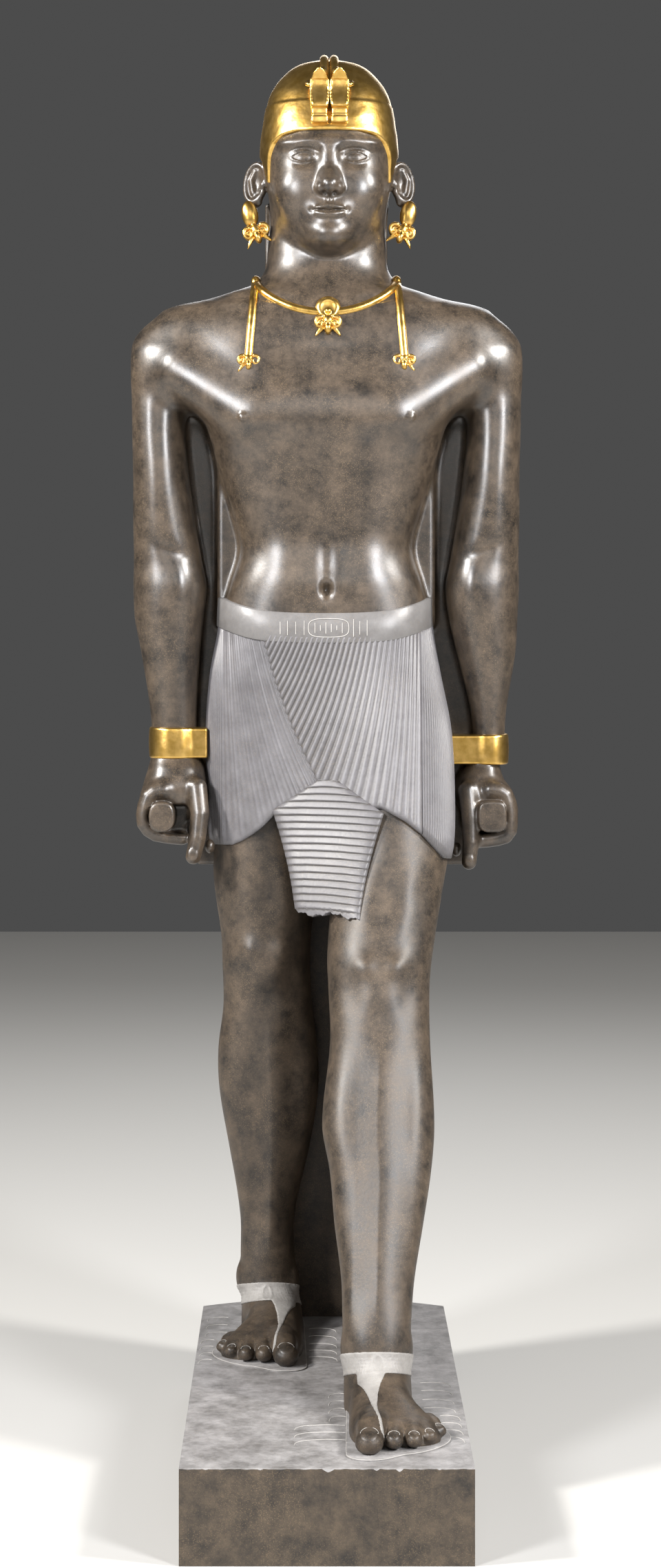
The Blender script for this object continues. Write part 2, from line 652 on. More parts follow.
FACE_CELLS = (
    [(-0.085, 0.0032), (0.105, 0.0019), (0.195, 0.0032)], [(0.225, 0.0023), (0.46, 0.0044)],
    [(2.37, 0.0036), (2.54, 0.0018), (2.58, 0.0034)],
)
face_piece = sculpt("polished_head", head, (-0.175, 0.10, 2.165), (0.195, 0.46, 2.58), FACE_CELLS)
trim(face_piece, COLLAR_POINT, -COLLAR_UP)
trim(face_piece, (0, 0, 2.575), (0, 0, 1))

# %% [markdown]
# ## Hands
#
# Each hand closes round a short rod that lies front to back. The four fingers go round the rod one
# behind the other and merge softly into one ring, and the thumb lies straight down in front. The cut
# through the wrist is hidden under the bracelet, and the one at the root lies inside the web of stone.

# %% Hands
HANDS = {
    -1: {
        "rod": (-0.3200, 1.207), "half": (0.0250, 0.0295), "power": 2.5,
        "web": -0.254, "tip": (-0.2265, 1.146),
        "palm": [(1224, 299, 67), (1264, 297, 65), (1298, 295, 57), (1324, 298, 48)],
        "thumb": [
            (-0.252, 0.236, 1.262, 0.020), (-0.2455, 0.219, 1.212, 0.0185),
            (-0.250, 0.213, 1.165, 0.0165), (-0.2585, 0.214, 1.1275, 0.0150),
        ],
        "finger": [
            (0, 0, 50, 17), (1, 23, 42, 17), (2, 34, 14, 17), (3, 34, -14, 17), (4, 17, -32, 17),
            (5, -10, -38, 17), (6, -38, -42, 16),
        ],
    },
    1: {
        "rod": (0.3305, 1.208), "half": (0.0275, 0.0305), "power": 3.4,
        "web": 0.296, "tip": (0.262, 1.140),
        "palm": [(1210, 330, 56), (1244, 318, 60), (1281, 312, 46), (1310, 318, 34)],
        "thumb": [
            (0.284, 0.236, 1.256, 0.019), (0.288, 0.219, 1.205, 0.0175),
            (0.289, 0.213, 1.155, 0.0160), (0.2855, 0.214, 1.1165, 0.0145),
        ],
        "finger": [
            (0, 0, 50, 17), (1, 24, 43, 17), (2, 34, 18, 17), (3, 36, -14, 17), (4, 30, -37, 17),
            (5, 6, -46, 16), (6, -25, -49, 16),
        ],
    },
}
FINGERS = [-0.068, -0.032, 0.004, 0.040]
WRIST_CUT = 1.35
HAND_ROOT = 0.156
HAND_REACH = {-1: 0.3855, 1: 0.3965}


def hand(p, side):
    spec = HANDS[side]
    wrist_x, wrist_w = WRISTS[side]
    rod_x, rod_z = spec["rod"]
    palm = [(1160, abs(rod_x) / MM - 6, 34, 52, 52), (1185, abs(rod_x) / MM - 8, 46, 60, 60)]
    palm += [(z, x, w, front, 62) for (z, x, w), front in zip(spec["palm"], (70, 76, 64, 50))]
    palm += [(1400, wrist_x + side * BODY_X, wrist_w + 1, 48, 50)]
    rows = [(z, side * x, AXIS_Y, w, front, back) for z, x, w, front, back in palm]
    fist = limb(p, fill_between(rows), 2.5)
    q = p - np.array((rod_x, AXIS_Y * MM, rod_z), np.float32)
    q[:, 0] *= side
    way = fill_between([(*joint, 0, 0) for joint in spec["finger"]], rows=11)
    for number, y in enumerate(FINGERS):
        joints = [(x, y, z, r - 0.0008 * number) for _, x, z, r, _, _ in way]
        fist = soft_join(fist, chain(q, joints), 0.014)
    hollow = np.minimum(
        rod(q, (-0.002, -0.16, -0.002), (-0.002, -0.060, 0.0), 0.034, 0.030),
        brick(q, (-0.052, -0.20, -0.036), (0.0, -0.040, 0.022), 0.010))
    fist = soft_cut(fist, hollow, 0.007)
    grip = oval_gap(q[:, 0], q[:, 2], *spec["half"], spec["power"])
    fist = soft_join(fist, soft_keep(grip, np.abs(q[:, 1]) - 0.112, 0.002), 0.003)
    fist = soft_join(fist, chain(p, spec["thumb"]), 0.012)
    x, y, z, r = spec["thumb"][-1]
    nail = egg(p, (x, y - r * 0.90, z + 0.005), (r * 0.80, 0.0042, r * 0.95))
    fist = soft_join(fist, nail, 0.0008)
    tip = egg(p, (spec["tip"][0], 0.240, spec["tip"][1]), (0.010, 0.014, 0.014))
    fist = soft_join(fist, tip, 0.004)
    lower = sorted((BODY_X * MM + side * 0.15, spec["web"]))
    upper = sorted((BODY_X * MM + side * 0.15, BODY_X * MM + side * 0.30))
    block = brick(p, (lower[0], 0.305, 1.104), (lower[1], 0.395, 1.33), 0.005)
    plate = brick(p, (upper[0], 0.335, 1.25), (upper[1], 0.405, 1.42), 0.004)
    whole = soft_join(soft_join(fist, block, 0.008), plate, 0.008)
    return soft_keep(whole, side * p[:, 0] - HAND_REACH[side], 0.006)


def hand_piece(side):
    name = "polished_hand_left" if side > 0 else "polished_hand_right"
    centre = HANDS[side]["rod"][0]
    low, high = sorted((BODY_X * MM + side * 0.15, centre + side * 0.09))
    piece = sculpt(name, lambda p: hand(p, side), (low, 0.17, 1.09), (high, 0.43, 1.38), 0.0034)
    trim(piece, (0, 0, WRIST_CUT), (0, 0, 1))
    trim(piece, (BODY_X * MM + side * HAND_ROOT, 0, 0), (-side, 0, 0))
    return piece


hands = [hand_piece(side) for side in (-1, 1)]

# %% [markdown]
# ## Legs
#
# The standing leg is upright and the other slants forward. The shin has a keel with a flat plane beside
# it, and the knee is a cap with two pads above. The legs stop under the ankle straps of the sandals,
# where the feet take over in finer cells.

# %% Stations of the legs, in millimetres
STANDING_LEG = [
    (168, -114, 352, 50, 46, 58), (240, -114, 352, 51, 54, 60), (304, -114, 350, 54, 52, 60),
    (396, -114, 348, 55, 50, 62), (534, -110, 342, 80, 60, 88), (656, -111, 336, 99, 68, 108),
    (733, -113, 332, 99, 72, 106), (821, -113, 328, 89, 80, 92), (905, -116, 325, 88, 96, 82),
    (960, -116, 325, 90, 96, 88), (1070, -117, 325, 104, 102, 104), (1146, -117, 323, 106, 111, 111),
    (1300, -115, 317, 109, 117, 117),
]
ADVANCED_LEG = [
    (168, 93, -222, 54, 46, 62), (235, 93, -220, 58, 62, 64), (300, 93, -217, 62, 56, 62),
    (384, 96, -178, 67, 56, 62), (478, 99, -134, 82, 60, 75), (568, 103, -91, 94, 66, 92),
    (648, 100, -53, 105, 70, 105), (790, 105, 13, 95, 74, 96), (890, 104, 60, 97, 90, 86),
    (945, 106, 88, 101, 102, 84), (1060, 121, 142, 107, 105, 102), (1146, 134, 176, 109, 115, 110),
    (1300, 130, 222, 112, 117, 116),
]
LEGS = {
    "standing": {"table": fill_between(STANDING_LEG), "knee": 0.895, "keel": 0.004},
    "advanced": {"table": fill_between(ADVANCED_LEG), "knee": 0.893, "keel": -0.002},
}
BAND = {"half": 0.020, "thick": 0.0013, "tilt": 0.35, "standing": 0.247, "advanced": 0.256}


def band_level(p, which):
    """Height above the middle of the ankle band, which drops towards the heel."""
    return p[:, 2] - BAND[which] + BAND["tilt"] * (p[:, 1] - LEGS[which]["table"][0, 2] + 0.05)


def band_plane(which):
    """A point in the middle plane of the ankle band, and the plane's direction."""
    return (0, LEGS[which]["table"][0, 2] - 0.05, BAND[which]), Vector((0, BAND["tilt"], 1)).normalized()


SHIN = {"keel": 0.0065, "left": 0.046, "right": 0.060}


def shin_relief(x, front, half):
    """A sharp keel with a flat plane on its left and a falling curve on its right."""
    def curve(dx):
        return front * (1 - np.minimum(np.abs(dx) / half, 1) ** 2.2) ** (1 / 2.2)
    share = np.clip(-x / SHIN["left"], 0, 1)
    chord = (front + SHIN["keel"]) * (1 - share) + curve(SHIN["left"]) * share
    plane = np.where(share < 1, chord - curve(x), 0)
    fall = SHIN["keel"] * (0.5 + 0.5 * np.cos(math.pi * np.clip(x / SHIN["right"], 0, 1)))
    return np.where(x < 0, plane, fall)


def leg_relief(p, leg):
    """Kneecap, the two pads above it, the hollow below and the keel of the shin."""
    table, z = leg["table"], p[:, 2]
    middle, axis, half, front = (np.interp(z, table[:, 0], table[:, k]) for k in (1, 2, 3, 4))
    x, y = p[:, 0] - middle, p[:, 1] - axis
    up = z - leg["knee"]
    pads = 0.0080 * (bump(x - 0.032, 0.022) + bump(x + 0.032, 0.022)) * bump(up - 0.048, 0.021)
    cap = 0.0022 * bump(x, 0.040) * bump(up - 0.004, 0.036)
    dimples = -0.0040 * (bump(x - 0.050, 0.020) + bump(x + 0.050, 0.020)) * bump(up + 0.012, 0.034)
    below = -0.0030 * bump(x, 0.045) * bump(up + 0.050, 0.030)
    shin = shin_relief(x - leg["keel"], front, half) * ramp(0.29, 0.40, z) * (1 - ramp(0.74, 0.83, z))
    thigh = 0.004 * (bump(x - 0.040, 0.024) + bump(x + 0.042, 0.024))
    thigh = thigh * ramp(0.97, 1.04, z) * (1 - ramp(1.08, 1.16, z))
    calf = 0.004 * bump(np.abs(x) - 0.075, 0.02) * bump(z - 0.66, 0.10)
    return (pads + cap + dimples + below + shin + thigh) * (1 - ramp(-0.05, 0.0, y)) + calf


# %% Feet and toes
FLOOR = 0.165 + 0.003
FEET = {"standing": (-0.073, 0.024, 1), "advanced": (0.072, -0.548, -1)}
FOOT = [
    (62, -46, 60, 20), (92, -50, 75, 33), (122, -48, 78, 42), (155, -42, 74, 51), (200, -33, 64, 63),
    (250, -28, 58, 77), (300, -25, 56, 90), (345, -24, 50, 84), (390, -24, 42, 62), (412, -24, 28, 40),
]
FOOT_CURVE = fill_between(FOOT)
TOES = [
    {"root": (-12, 135), "tip": (-1, 25), "r": (30, 25), "high": 19},
    {"root": (-48, 132), "tip": (-44, 45), "r": (17, 16.5), "high": 16},
    {"root": (-76, 138), "tip": (-79, 53), "r": (16, 15), "high": 15},
    {"root": (-97, 150), "tip": (-107, 77), "r": (14.5, 13), "high": 14},
    {"root": (-109, 172), "tip": (-126, 116), "r": (13, 12), "high": 13},
]
TOE_FLAT = 1.22


def on_foot(p, which):
    """Points seen from the tip of the big toe, with the little toe at negative u."""
    tip_x, tip_y, side = FEET[which]
    return np.stack([(p[:, 0] - tip_x) * side, p[:, 1] - tip_y, p[:, 2] - FLOOR], 1).astype(np.float32)


def toe(q, spec):
    """A toe a little wider than it is high: a root, a raised joint, a dip and a rounded tip."""
    (x0, y0), (x1, y1) = spec["root"], spec["tip"]
    r0, r1 = spec["r"]
    high = spec["high"]
    way = [(x0 + (x1 - x0) * t, y0 + (y1 - y0) * t) for t in (0.40, 0.72)]
    joints = [
        (x0, y0, (high + 4) * TOE_FLAT, r0), (*way[0], (high + 5) * TOE_FLAT, (r0 + r1) * 0.5),
        (*way[1], (high + 1) * TOE_FLAT, r1 * 0.92), (x1, y1, (high - 1) * TOE_FLAT, r1 * 0.98),
    ]
    flat = q * np.array((1, 1, TOE_FLAT), np.float32)
    return chain(flat, [tuple(v * MM for v in joint) for joint in joints]) * 0.9


def nail_gap(q, spec):
    """Distance from a toenail's oval outline, measured in the plan of the foot."""
    (x0, y0), (x1, y1) = spec["root"], spec["tip"]
    along = np.array((x1 - x0, y1 - y0)) / math.hypot(x1 - x0, y1 - y0)
    u, v = q[:, 0] - x1 * MM, q[:, 1] - y1 * MM
    a, b = u * along[0] + v * along[1], -u * along[1] + v * along[0]
    return oval_gap(a - spec["r"][1] * 0.10 * MM, b, spec["r"][1] * 0.80 * MM, spec["r"][1] * 0.62 * MM, 2.6)


def foot(p, which):
    q = on_foot(p, which)
    at = np.clip(q[:, 1], FOOT_CURVE[0, 0], FOOT_CURVE[-1, 0])
    x, half, top = (np.interp(at, FOOT_CURVE[:, 0], FOOT_CURVE[:, k]) for k in (1, 2, 3))
    body = oval_gap(q[:, 0] - x, q[:, 2], half, top, 2.3)
    body = soft_keep(body, FOOT_CURVE[0, 0] - q[:, 1], 0.03)
    body = soft_keep(body, q[:, 1] - FOOT_CURVE[-1, 0], 0.02)
    toes = None
    for spec in TOES:
        one = toe(q, spec) - 0.0012 * ramp(0.0008, -0.0004, nail_gap(q, spec)) * (q[:, 2] > 0.016)
        toes = one if toes is None else soft_join(toes, one, 0.0014)
    body = soft_join(body, toes, 0.007)
    return np.maximum(body, -q[:, 2] - 0.003)


def leg(p, which):
    power = 2.2 - 0.2 * ramp(1.02, 1.14, p[:, 2])
    return limb(p, LEGS[which]["table"], power) - leg_relief(p, LEGS[which])


def leg_and_foot(p, which):
    whole = soft_join(leg(p, which), foot(p, which), 0.03)
    centre = LEGS[which]["table"][0, 2]
    for side in (-1, 1):
        bone_x = LEGS[which]["table"][0, 1] + side * 0.050
        bone = egg(p, (bone_x, centre - 0.004, 0.268), (0.012, 0.022, 0.024))
        whole = soft_join(whole, bone, 0.02)
    return whole


FOOT_CUT = 0.1642
FOOT_CELL = 0.0028
THIGH_CUT = 1.275
LEG_CELL = (0.0036, 0.0056, 0.0075)


def foot_piece(which):
    tip_x, tip_y, side = FEET[which]
    low_x, high_x = sorted((tip_x + side * 0.045, tip_x - side * 0.155))
    piece = sculpt(
        f"polished_foot_{which}", lambda p: leg_and_foot(p, which), (low_x, tip_y - 0.012, 0.160),
        (high_x, tip_y + 0.43, BAND[which] + 0.012), FOOT_CELL)
    point, up = band_plane(which)
    trim(piece, point, up)
    trim(piece, (0, 0, FOOT_CUT), (0, 0, -1))
    return piece


def leg_piece(which):
    table = LEGS[which]["table"]
    low = (table[:, 1].min() - 0.13, table[:, 2].min() - 0.14, BAND[which] - 0.075)
    high = (table[:, 1].max() + 0.13, table[:, 2].max() + 0.14, 1.28)
    piece = sculpt(f"polished_leg_{which}", lambda p: leg_and_foot(p, which), low, high, LEG_CELL)
    point, up = band_plane(which)
    trim(piece, point, -up)
    trim(piece, (0, 0, THIGH_CUT), (0, 0, 1))
    return piece


feet = [foot_piece(which) for which in LEGS]
legs = [leg_piece(which) for which in LEGS]

# %% [markdown]
# ## Sandals
#
# A flat sole, a wide band round the ankle and a thong between the first two toes, all left matt. The
# band is the foot's own form grown by little more than a millimetre and cut off above and below by two
# planes that rise towards the heel, so that it fits every hollow of the ankle.

# %% Ankle bands and thongs
THONG = [
    (45, -25, 3.2), (90, -20, 3.2), (125, -15, 3.6), (150, -13, 4.8),
    (185, -11, 9), (215, -10, 15), (250, -10, 25), (420, -10, 40),
]
THONG_CURVE = np.array(THONG, np.float32) * MM


def sandal(p, which):
    flesh = leg_and_foot(p, which)
    table = LEGS[which]["table"]
    level = band_level(p, which)
    turn = np.arctan2(p[:, 0] - table[0, 1], table[0, 2] - p[:, 1])
    q = on_foot(p, which)
    middle, half = (np.interp(q[:, 1], THONG_CURVE[:, 0], THONG_CURVE[:, k]) for k in (1, 2))
    tongue = np.maximum(np.abs(q[:, 0] - middle) - half, THONG_CURVE[0, 0] - q[:, 1])
    net = 0.0006 * np.cos(turn * 40 + level * 500) * np.cos(turn * 40 - level * 500)
    oval = oval_gap(turn * 0.06, level + 0.003, 0.008, 0.016, 2.0)
    net = np.where(oval < 0.002, 0, net) + 0.0012 * bump(oval, 0.0018)
    hems = 0.0006 * bump(np.abs(level) - BAND["half"] + 0.0035, 0.0018)
    cloth = flesh - BAND["thick"] - (net + hems) * (np.abs(level) < BAND["half"])
    lower = np.minimum(-level - BAND["half"], tongue)
    bound = np.maximum(np.maximum(level - BAND["half"], lower), 0.006 - q[:, 2])
    return soft_keep(cloth, bound, 0.0012)


def sandal_piece(which):
    tip_x, tip_y, side = FEET[which]
    low_x, high_x = sorted((tip_x + side * 0.052, tip_x - side * 0.110))
    return sculpt(
        f"sandal_band_{which}", lambda p: sandal(p, which), (low_x, tip_y + 0.035, 0.166),
        (high_x, tip_y + 0.43, BAND[which] + 0.045), 0.0027)


bands = [sandal_piece(which) for which in LEGS]


# %% Closed shells from grids of points
def shell(front, back, tone=None):
    """A closed skin: two grids of points joined along their edges. Returns points, faces and tones."""
    rows, cols = front.shape[:2]
    index = np.arange(rows * cols).reshape(rows, cols)

    def quads(grid):
        return np.stack([grid[:-1, :-1], grid[:-1, 1:], grid[1:, 1:], grid[1:, :-1]], -1).reshape(-1, 4)

    far = index + rows * cols
    loop = np.concatenate([index[0, :-1], index[:-1, -1], index[-1, :0:-1], index[:0:-1, 0]])
    after = np.roll(loop, -1)
    wall = np.stack([loop, loop + rows * cols, after + rows * cols, after], -1)
    faces = np.concatenate([quads(index), quads(far)[:, ::-1], wall])
    tones = np.ones(2 * rows * cols)
    if tone is not None:
        tones[:rows * cols] = np.broadcast_to(tone, (rows, cols)).ravel()
    return np.concatenate([front.reshape(-1, 3), back.reshape(-1, 3)]), faces, tones


def tube_shell(rings):
    """A closed skin over rings of points, with both ends filled by a fan."""
    rows, sides = rings.shape[:2]
    index = np.arange(rows * sides).reshape(rows, sides)
    after = np.roll(index, -1, axis=1)
    faces = np.stack([index[:-1], after[:-1], after[1:], index[1:]], -1).reshape(-1, 4).tolist()
    points = np.concatenate([rings.reshape(-1, 3), [rings[0].mean(0)], [rings[-1].mean(0)]])
    low, high = rows * sides, rows * sides + 1
    faces += [[low, b, a] for a, b in zip(index[0], after[0])]
    faces += [[high, a, b] for a, b in zip(index[-1], after[-1])]
    return points, faces


def outward(piece):
    mesh = bmesh.new()
    mesh.from_mesh(piece.data)
    bmesh.ops.recalc_face_normals(mesh, faces=mesh.faces[:])
    mesh.to_mesh(piece.data)
    mesh.free()
    return piece


def assemble(name, shells):
    points, faces, tones, start = [], [], [], 0
    for own_points, own_faces, *own_tones in shells:
        points.append(own_points)
        tones.append(own_tones[0] if own_tones else np.ones(len(own_points)))
        faces += [[int(i) + start for i in face] for face in own_faces]
        start += len(own_points)
    piece = outward(new_mesh(name, np.concatenate(points), faces))
    height = piece.data.attributes.new("height", "FLOAT", "POINT")
    height.data.foreach_set("value", np.concatenate(tones).astype(np.float32))
    print(name, sum(len(face) - 2 for face in faces), "triangles")
    return piece


def soften(piece, width, segments=2, angle=35):
    """Rounds the sharp edges of a plain form."""
    mesh = bmesh.new()
    mesh.from_mesh(piece.data)
    sharp = [e for e in mesh.edges if e.calc_face_angle(0) > math.radians(angle)]
    bmesh.ops.bevel(
        mesh, geom=sharp, offset=width, segments=segments, profile=0.6, affect="EDGES", clamp_overlap=True)
    mesh.to_mesh(piece.data)
    mesh.free()
    return piece


# %% Soles
SOLE = [
    (38, 40), (36, 10), (20, -9), (-4, -13), (-28, -6), (-60, 18), (-92, 34), (-122, 62), (-142, 100),
    (-144, 140), (-128, 190), (-102, 260), (-84, 340), (-66, 396), (-30, 424), (10, 412), (32, 370),
    (34, 280), (36, 160),
]


def round_through(points, steps=8):
    """A closed smooth curve through points of a plan, in millimetres."""
    found = []
    for k in range(len(points)):
        a, b, c, d = (np.array(points[(k + i) % len(points)], float) for i in (-1, 0, 1, 2))
        for t in np.arange(steps) / steps:
            square, cube = (2 * a - 5 * b + 4 * c - d) * t**2, (3 * b - a - 3 * c + d) * t**3
            found.append(0.5 * (2 * b + (c - a) * t + square + cube))
    return np.array(found)


def sole_piece(which):
    tip_x, tip_y, side = FEET[which]
    plan = round_through(SOLE) * MM
    middle = plan.mean(0)
    rings = []
    for z, inset in ((FLOOR - 0.006, 0.0), (FLOOR - 0.001, 0.0), (FLOOR, 0.0015)):
        out = plan - middle
        spot = middle + out * (1 - inset / np.linalg.norm(out, axis=1))[:, None]
        rings.append(np.stack([tip_x + side * spot[:, 0], tip_y + spot[:, 1], np.full(len(spot), z)], 1))
    return assemble(f"sandal_sole_{which}", [tube_shell(np.array(rings))])


soles = [sole_piece(which) for which in LEGS]

# %% [markdown]
# ## Kilt
#
# The cloth is stretched round both thighs, so each level is the hull of two ovals. One end of it is
# wrapped over the other: the upper panel's pleats fan down from the belt on the right, the lower
# panel's finer pleats fan down on the left, and the upper panel's smooth selvage runs between them from
# the belt to the hem. Every column of the mesh follows one pleat line, so the ridges stay clean. The
# hem is a drawn line, and each column ends where it meets that line. A plain core closes the kilt from
# inside and ends a little above the hem. Each point also stores how high it stands on its pleat, in an
# attribute named height, and the material darkens the grooves with it.

# %% Measures of the kilt
THIGHS = [
    (1000, -117, 325, 106, 106, 116, 116, 106, 106), (1146, -117, 323, 113, 118, 135, 176, 114, 120),
    (1262, -115, 318, 118, 126, 132, 212, 121, 126), (1378, -114, 312, 121, 132, 126, 248, 122, 132),
    (1490, -104, 304, 122, 138, 108, 284, 120, 138), (1580, -84, 300, 126, 142, 90, 300, 124, 142),
    (1680, -84, 300, 124, 140, 90, 300, 122, 140),
]
THIGH_CURVE = fill_between(THIGHS)
HULL_BLEND = 0.026
BELT = {"front": 1.549, "rise": 0.032, "height": 0.059}
HEM = {"front": 1.222, "side": 1.146, "back": 1.140}
CORE_FOOT = 1.238
HEM_LINE = [
    (-0.240, 1.146), (-0.190, 1.150), (-0.176, 1.158), (-0.101, 1.216), (0.0, 1.224), (0.111, 1.231),
    (0.156, 1.206), (0.190, 1.180), (0.237, 1.134), (0.250, 1.130),
]
FAN = {"top": 1.5545, "run": 0.2959}
OVER = {
    "fixed": 0.1896, "spread": 0.77, "pitch": 0.0103, "pitch_end": 0.0070, "deep": 0.0038, "lift": 0.0026,
}
UNDER = {"fixed": -0.2005, "spread": 1.5, "pitch": 0.0042, "deep": 0.0019}
EDGE_TOP = -0.1238
SELVAGE = 0.0075


def kilt_skin(turn, z):
    """Place and outward direction on the cloth, by the turn round the body and the height."""
    turn, z = np.broadcast_arrays(turn, z)
    lx, ly, lw, ld, rx, ry, rw, rd = read_curve(THIGH_CURVE, z)
    c, d = np.cos(turn), np.sin(turn)
    left, right = np.hypot(lw * c, ld * d), np.hypot(rw * c, rd * d)
    lead = (rx * c + ry * d + right) - (lx * c + ly * d + left)
    share = 1 / (1 + np.exp(-lead / HULL_BLEND))
    x = (lx + lw * lw * c / left) * (1 - share) + (rx + rw * rw * c / right) * share
    y = (ly + ld * ld * d / left) * (1 - share) + (ry + rd * rd * d / right) * share
    return np.stack([x, y, z], -1), np.stack([c, d, np.zeros_like(c)], -1)


LEVELS = np.linspace(1.0, 1.66, 67)
FRONT_TURNS = np.linspace(math.pi, 2 * math.pi, 361)
FRONT_X = np.linspace(-0.215, 0.235, 226)
TURN_AT = np.array([np.interp(FRONT_X, kilt_skin(FRONT_TURNS, z)[0][:, 0], FRONT_TURNS) for z in LEVELS])


def turn_at(x, z):
    """The turn at which the front of the cloth reaches x at a height."""
    i = np.clip((z - LEVELS[0]) / (LEVELS[1] - LEVELS[0]), 0, len(LEVELS) - 1.001)
    j = np.clip((x - FRONT_X[0]) / (FRONT_X[1] - FRONT_X[0]), 0, len(FRONT_X) - 1.001)
    a, b = i.astype(int), j.astype(int)
    u, v = i - a, j - b
    low = TURN_AT[a, b] * (1 - v) + TURN_AT[a, b + 1] * v
    high = TURN_AT[a + 1, b] * (1 - v) + TURN_AT[a + 1, b + 1] * v
    return low * (1 - u) + high * u


def on_front(x, z, grow):
    spot, out = kilt_skin(turn_at(x, z), z)
    return spot + out * np.asarray(grow)[..., None]


def belt_height(turn):
    front = np.maximum(-np.sin(turn), 0)
    return BELT["front"] + BELT["rise"] * (1 - front * front)


def hem_height(turn):
    """The hem follows a line seen from the front, and is nearly level behind."""
    front = -np.sin(turn)
    x = kilt_skin(turn, HEM["front"])[0][..., 0]
    line = np.interp(x, [h[0] for h in HEM_LINE], [h[1] for h in HEM_LINE])
    side = np.where(np.cos(turn) > 0, HEM_LINE[-1][1], HEM_LINE[0][1])
    return np.where(front > 0, line, side - (HEM["back"] - side) * front)


def fan(z):
    t = (FAN["top"] - z) / FAN["run"]
    return 0.6 * t + 0.4 * t * t


def over_line(top, z):
    return OVER["fixed"] - (OVER["fixed"] - top) * (1 + OVER["spread"] * fan(z))


def under_line(top, z):
    return top + UNDER["spread"] * (top - UNDER["fixed"]) * fan(z)


def edge_line(z):
    return under_line(EDGE_TOP, z)


# %% Panels of the kilt
def ridge(phase):
    return (0.5 + 0.5 * np.cos(2 * math.pi * phase)) ** 0.75


def panel(line, tops, end, height):
    """Columns follow the pleat lines from the belt down to end(top), and height gives the relief."""
    rows = 50
    share = np.linspace(0, 1, rows)[:, None]
    start = belt_height(turn_at(line(tops, FAN["top"]), np.full(len(tops), FAN["top"]))) + 0.012
    z = start[None] + (end - start)[None] * share
    x = line(tops[None], z)
    grow, tone = height(tops[None], z, share)
    return shell(on_front(x, z, grow), on_front(x, z, np.full(x.shape, -0.008)), tone)


def hem_end(line, tops):
    """The height at which each pleat line first meets the hem on its way down."""
    z = np.linspace(HEM["front"] + 0.03, HEM["side"] - 0.03, 300)[:, None]
    below = z <= hem_height(turn_at(line(tops[None], z), z))
    return z[np.argmax(below, axis=0), 0]


def over_panel():
    tops = np.arange(EDGE_TOP + SELVAGE, OVER["fixed"], OVER["pitch"] / 7)
    end = hem_end(over_line, tops)
    trial = np.linspace(FAN["top"], HEM["side"], 400)
    for number, top in enumerate(tops):
        crossed = over_line(top, trial) < edge_line(trial) + SELVAGE * 0.8
        if crossed.any():
            end[number] = max(end[number], trial[np.argmax(crossed)])
    width = OVER["pitch"] + (OVER["pitch_end"] - OVER["pitch"]) * ramp(0.10, 0.19, tops)
    phase = np.cumsum(np.gradient(tops) / width)

    def height(top, z, share):
        fade = 1 - 0.55 * ramp(0.03, OVER["fixed"], top)
        foot = np.sqrt(np.clip((z - end[None]) / 0.005, 0, 1))
        wave = ridge(phase)[None] * foot
        lift = OVER["lift"] * (1 - ramp(0.004, 0.0, z - end[None]) * 0.6)
        return lift + OVER["deep"] * fade * wave, 1 - fade * (1 - wave)

    return panel(over_line, tops, end, height)


def under_panel():
    tops = np.arange(UNDER["fixed"], EDGE_TOP + 0.012, UNDER["pitch"] / 6)
    phase = (tops - UNDER["fixed"]) / UNDER["pitch"]

    def height(top, z, share):
        depth = 0.65 + 0.35 * np.sin(phase * 2.4 + 1.3 * np.sin(phase * 0.7))[None]
        wave = ridge(phase)[None] * depth * ramp(0, 0.05, 1 - share)
        return UNDER["deep"] * wave, 0.7 + 0.3 * wave

    return panel(under_line, tops, hem_end(under_line, tops), height)


def selvage_strip():
    z = np.linspace(BELT["front"] + 0.02, HEM["front"] - 0.002, 90)[:, None]
    across = np.linspace(0, 1, 25)[None]
    x = edge_line(z) - 0.001 + (SELVAGE + 0.002) * across + 0 * z
    lines = ridge(across * 3 + 0.5)
    grow = OVER["lift"] * 0.75 * np.minimum(1, across * 6) + 0.0009 * lines + 0 * z
    z = z + 0 * x
    behind = on_front(x, z, np.full(x.shape, -0.006))
    return shell(on_front(x, z, grow), behind, 0.45 + 0.55 * lines)


def back_panel():
    cols, rows, pleats = 694, 24, 99
    run = np.linspace(0, 1, cols)[None]
    share = np.linspace(0, 1, rows)[:, None]
    z = BELT["front"] + (HEM["side"] - BELT["front"]) * share + 0 * run
    for _ in range(3):
        first = turn_at(np.full(z.shape, OVER["fixed"] - 0.001), z)
        last = turn_at(np.full(z.shape, UNDER["fixed"] + 0.001), z) + 2 * math.pi
        turn = first + (last - first) * run
        top = belt_height(turn) + 0.012
        z = top + (hem_height(turn) - top) * share
    spot, out = kilt_skin(turn, z)
    wave = ridge(run * pleats) * ramp(0, 0.06, 1 - share)
    grow = OVER["lift"] * (1 - run) + 0.0024 * wave
    return shell(spot + out * grow[..., None], spot - out * 0.008, 0.5 + 0.5 * wave)


def kilt_core():
    turns = np.linspace(0, 2 * math.pi, 120, endpoint=False)
    rings = []
    for share in np.linspace(0, 1, 8):
        z = CORE_FOOT + (belt_height(turns) + 0.02 - CORE_FOOT) * share
        spot, out = kilt_skin(turns, z)
        rings.append(spot - out * 0.006)
    return tube_shell(np.array(rings))


kilt = assemble("pleated_kilt", [over_panel(), under_panel(), selvage_strip(), back_panel(), kilt_core()])


# %% Belt and hanging tab
TAB = {
    "top": 1.284, "corner": 1.222, "bottom": 1.022, "top_half": 0.018, "corner_half": 0.106,
    "bottom_half": 0.061, "x": 0.008, "proud": 0.0115, "pitch": 0.0137, "deep": 0.0034,
}


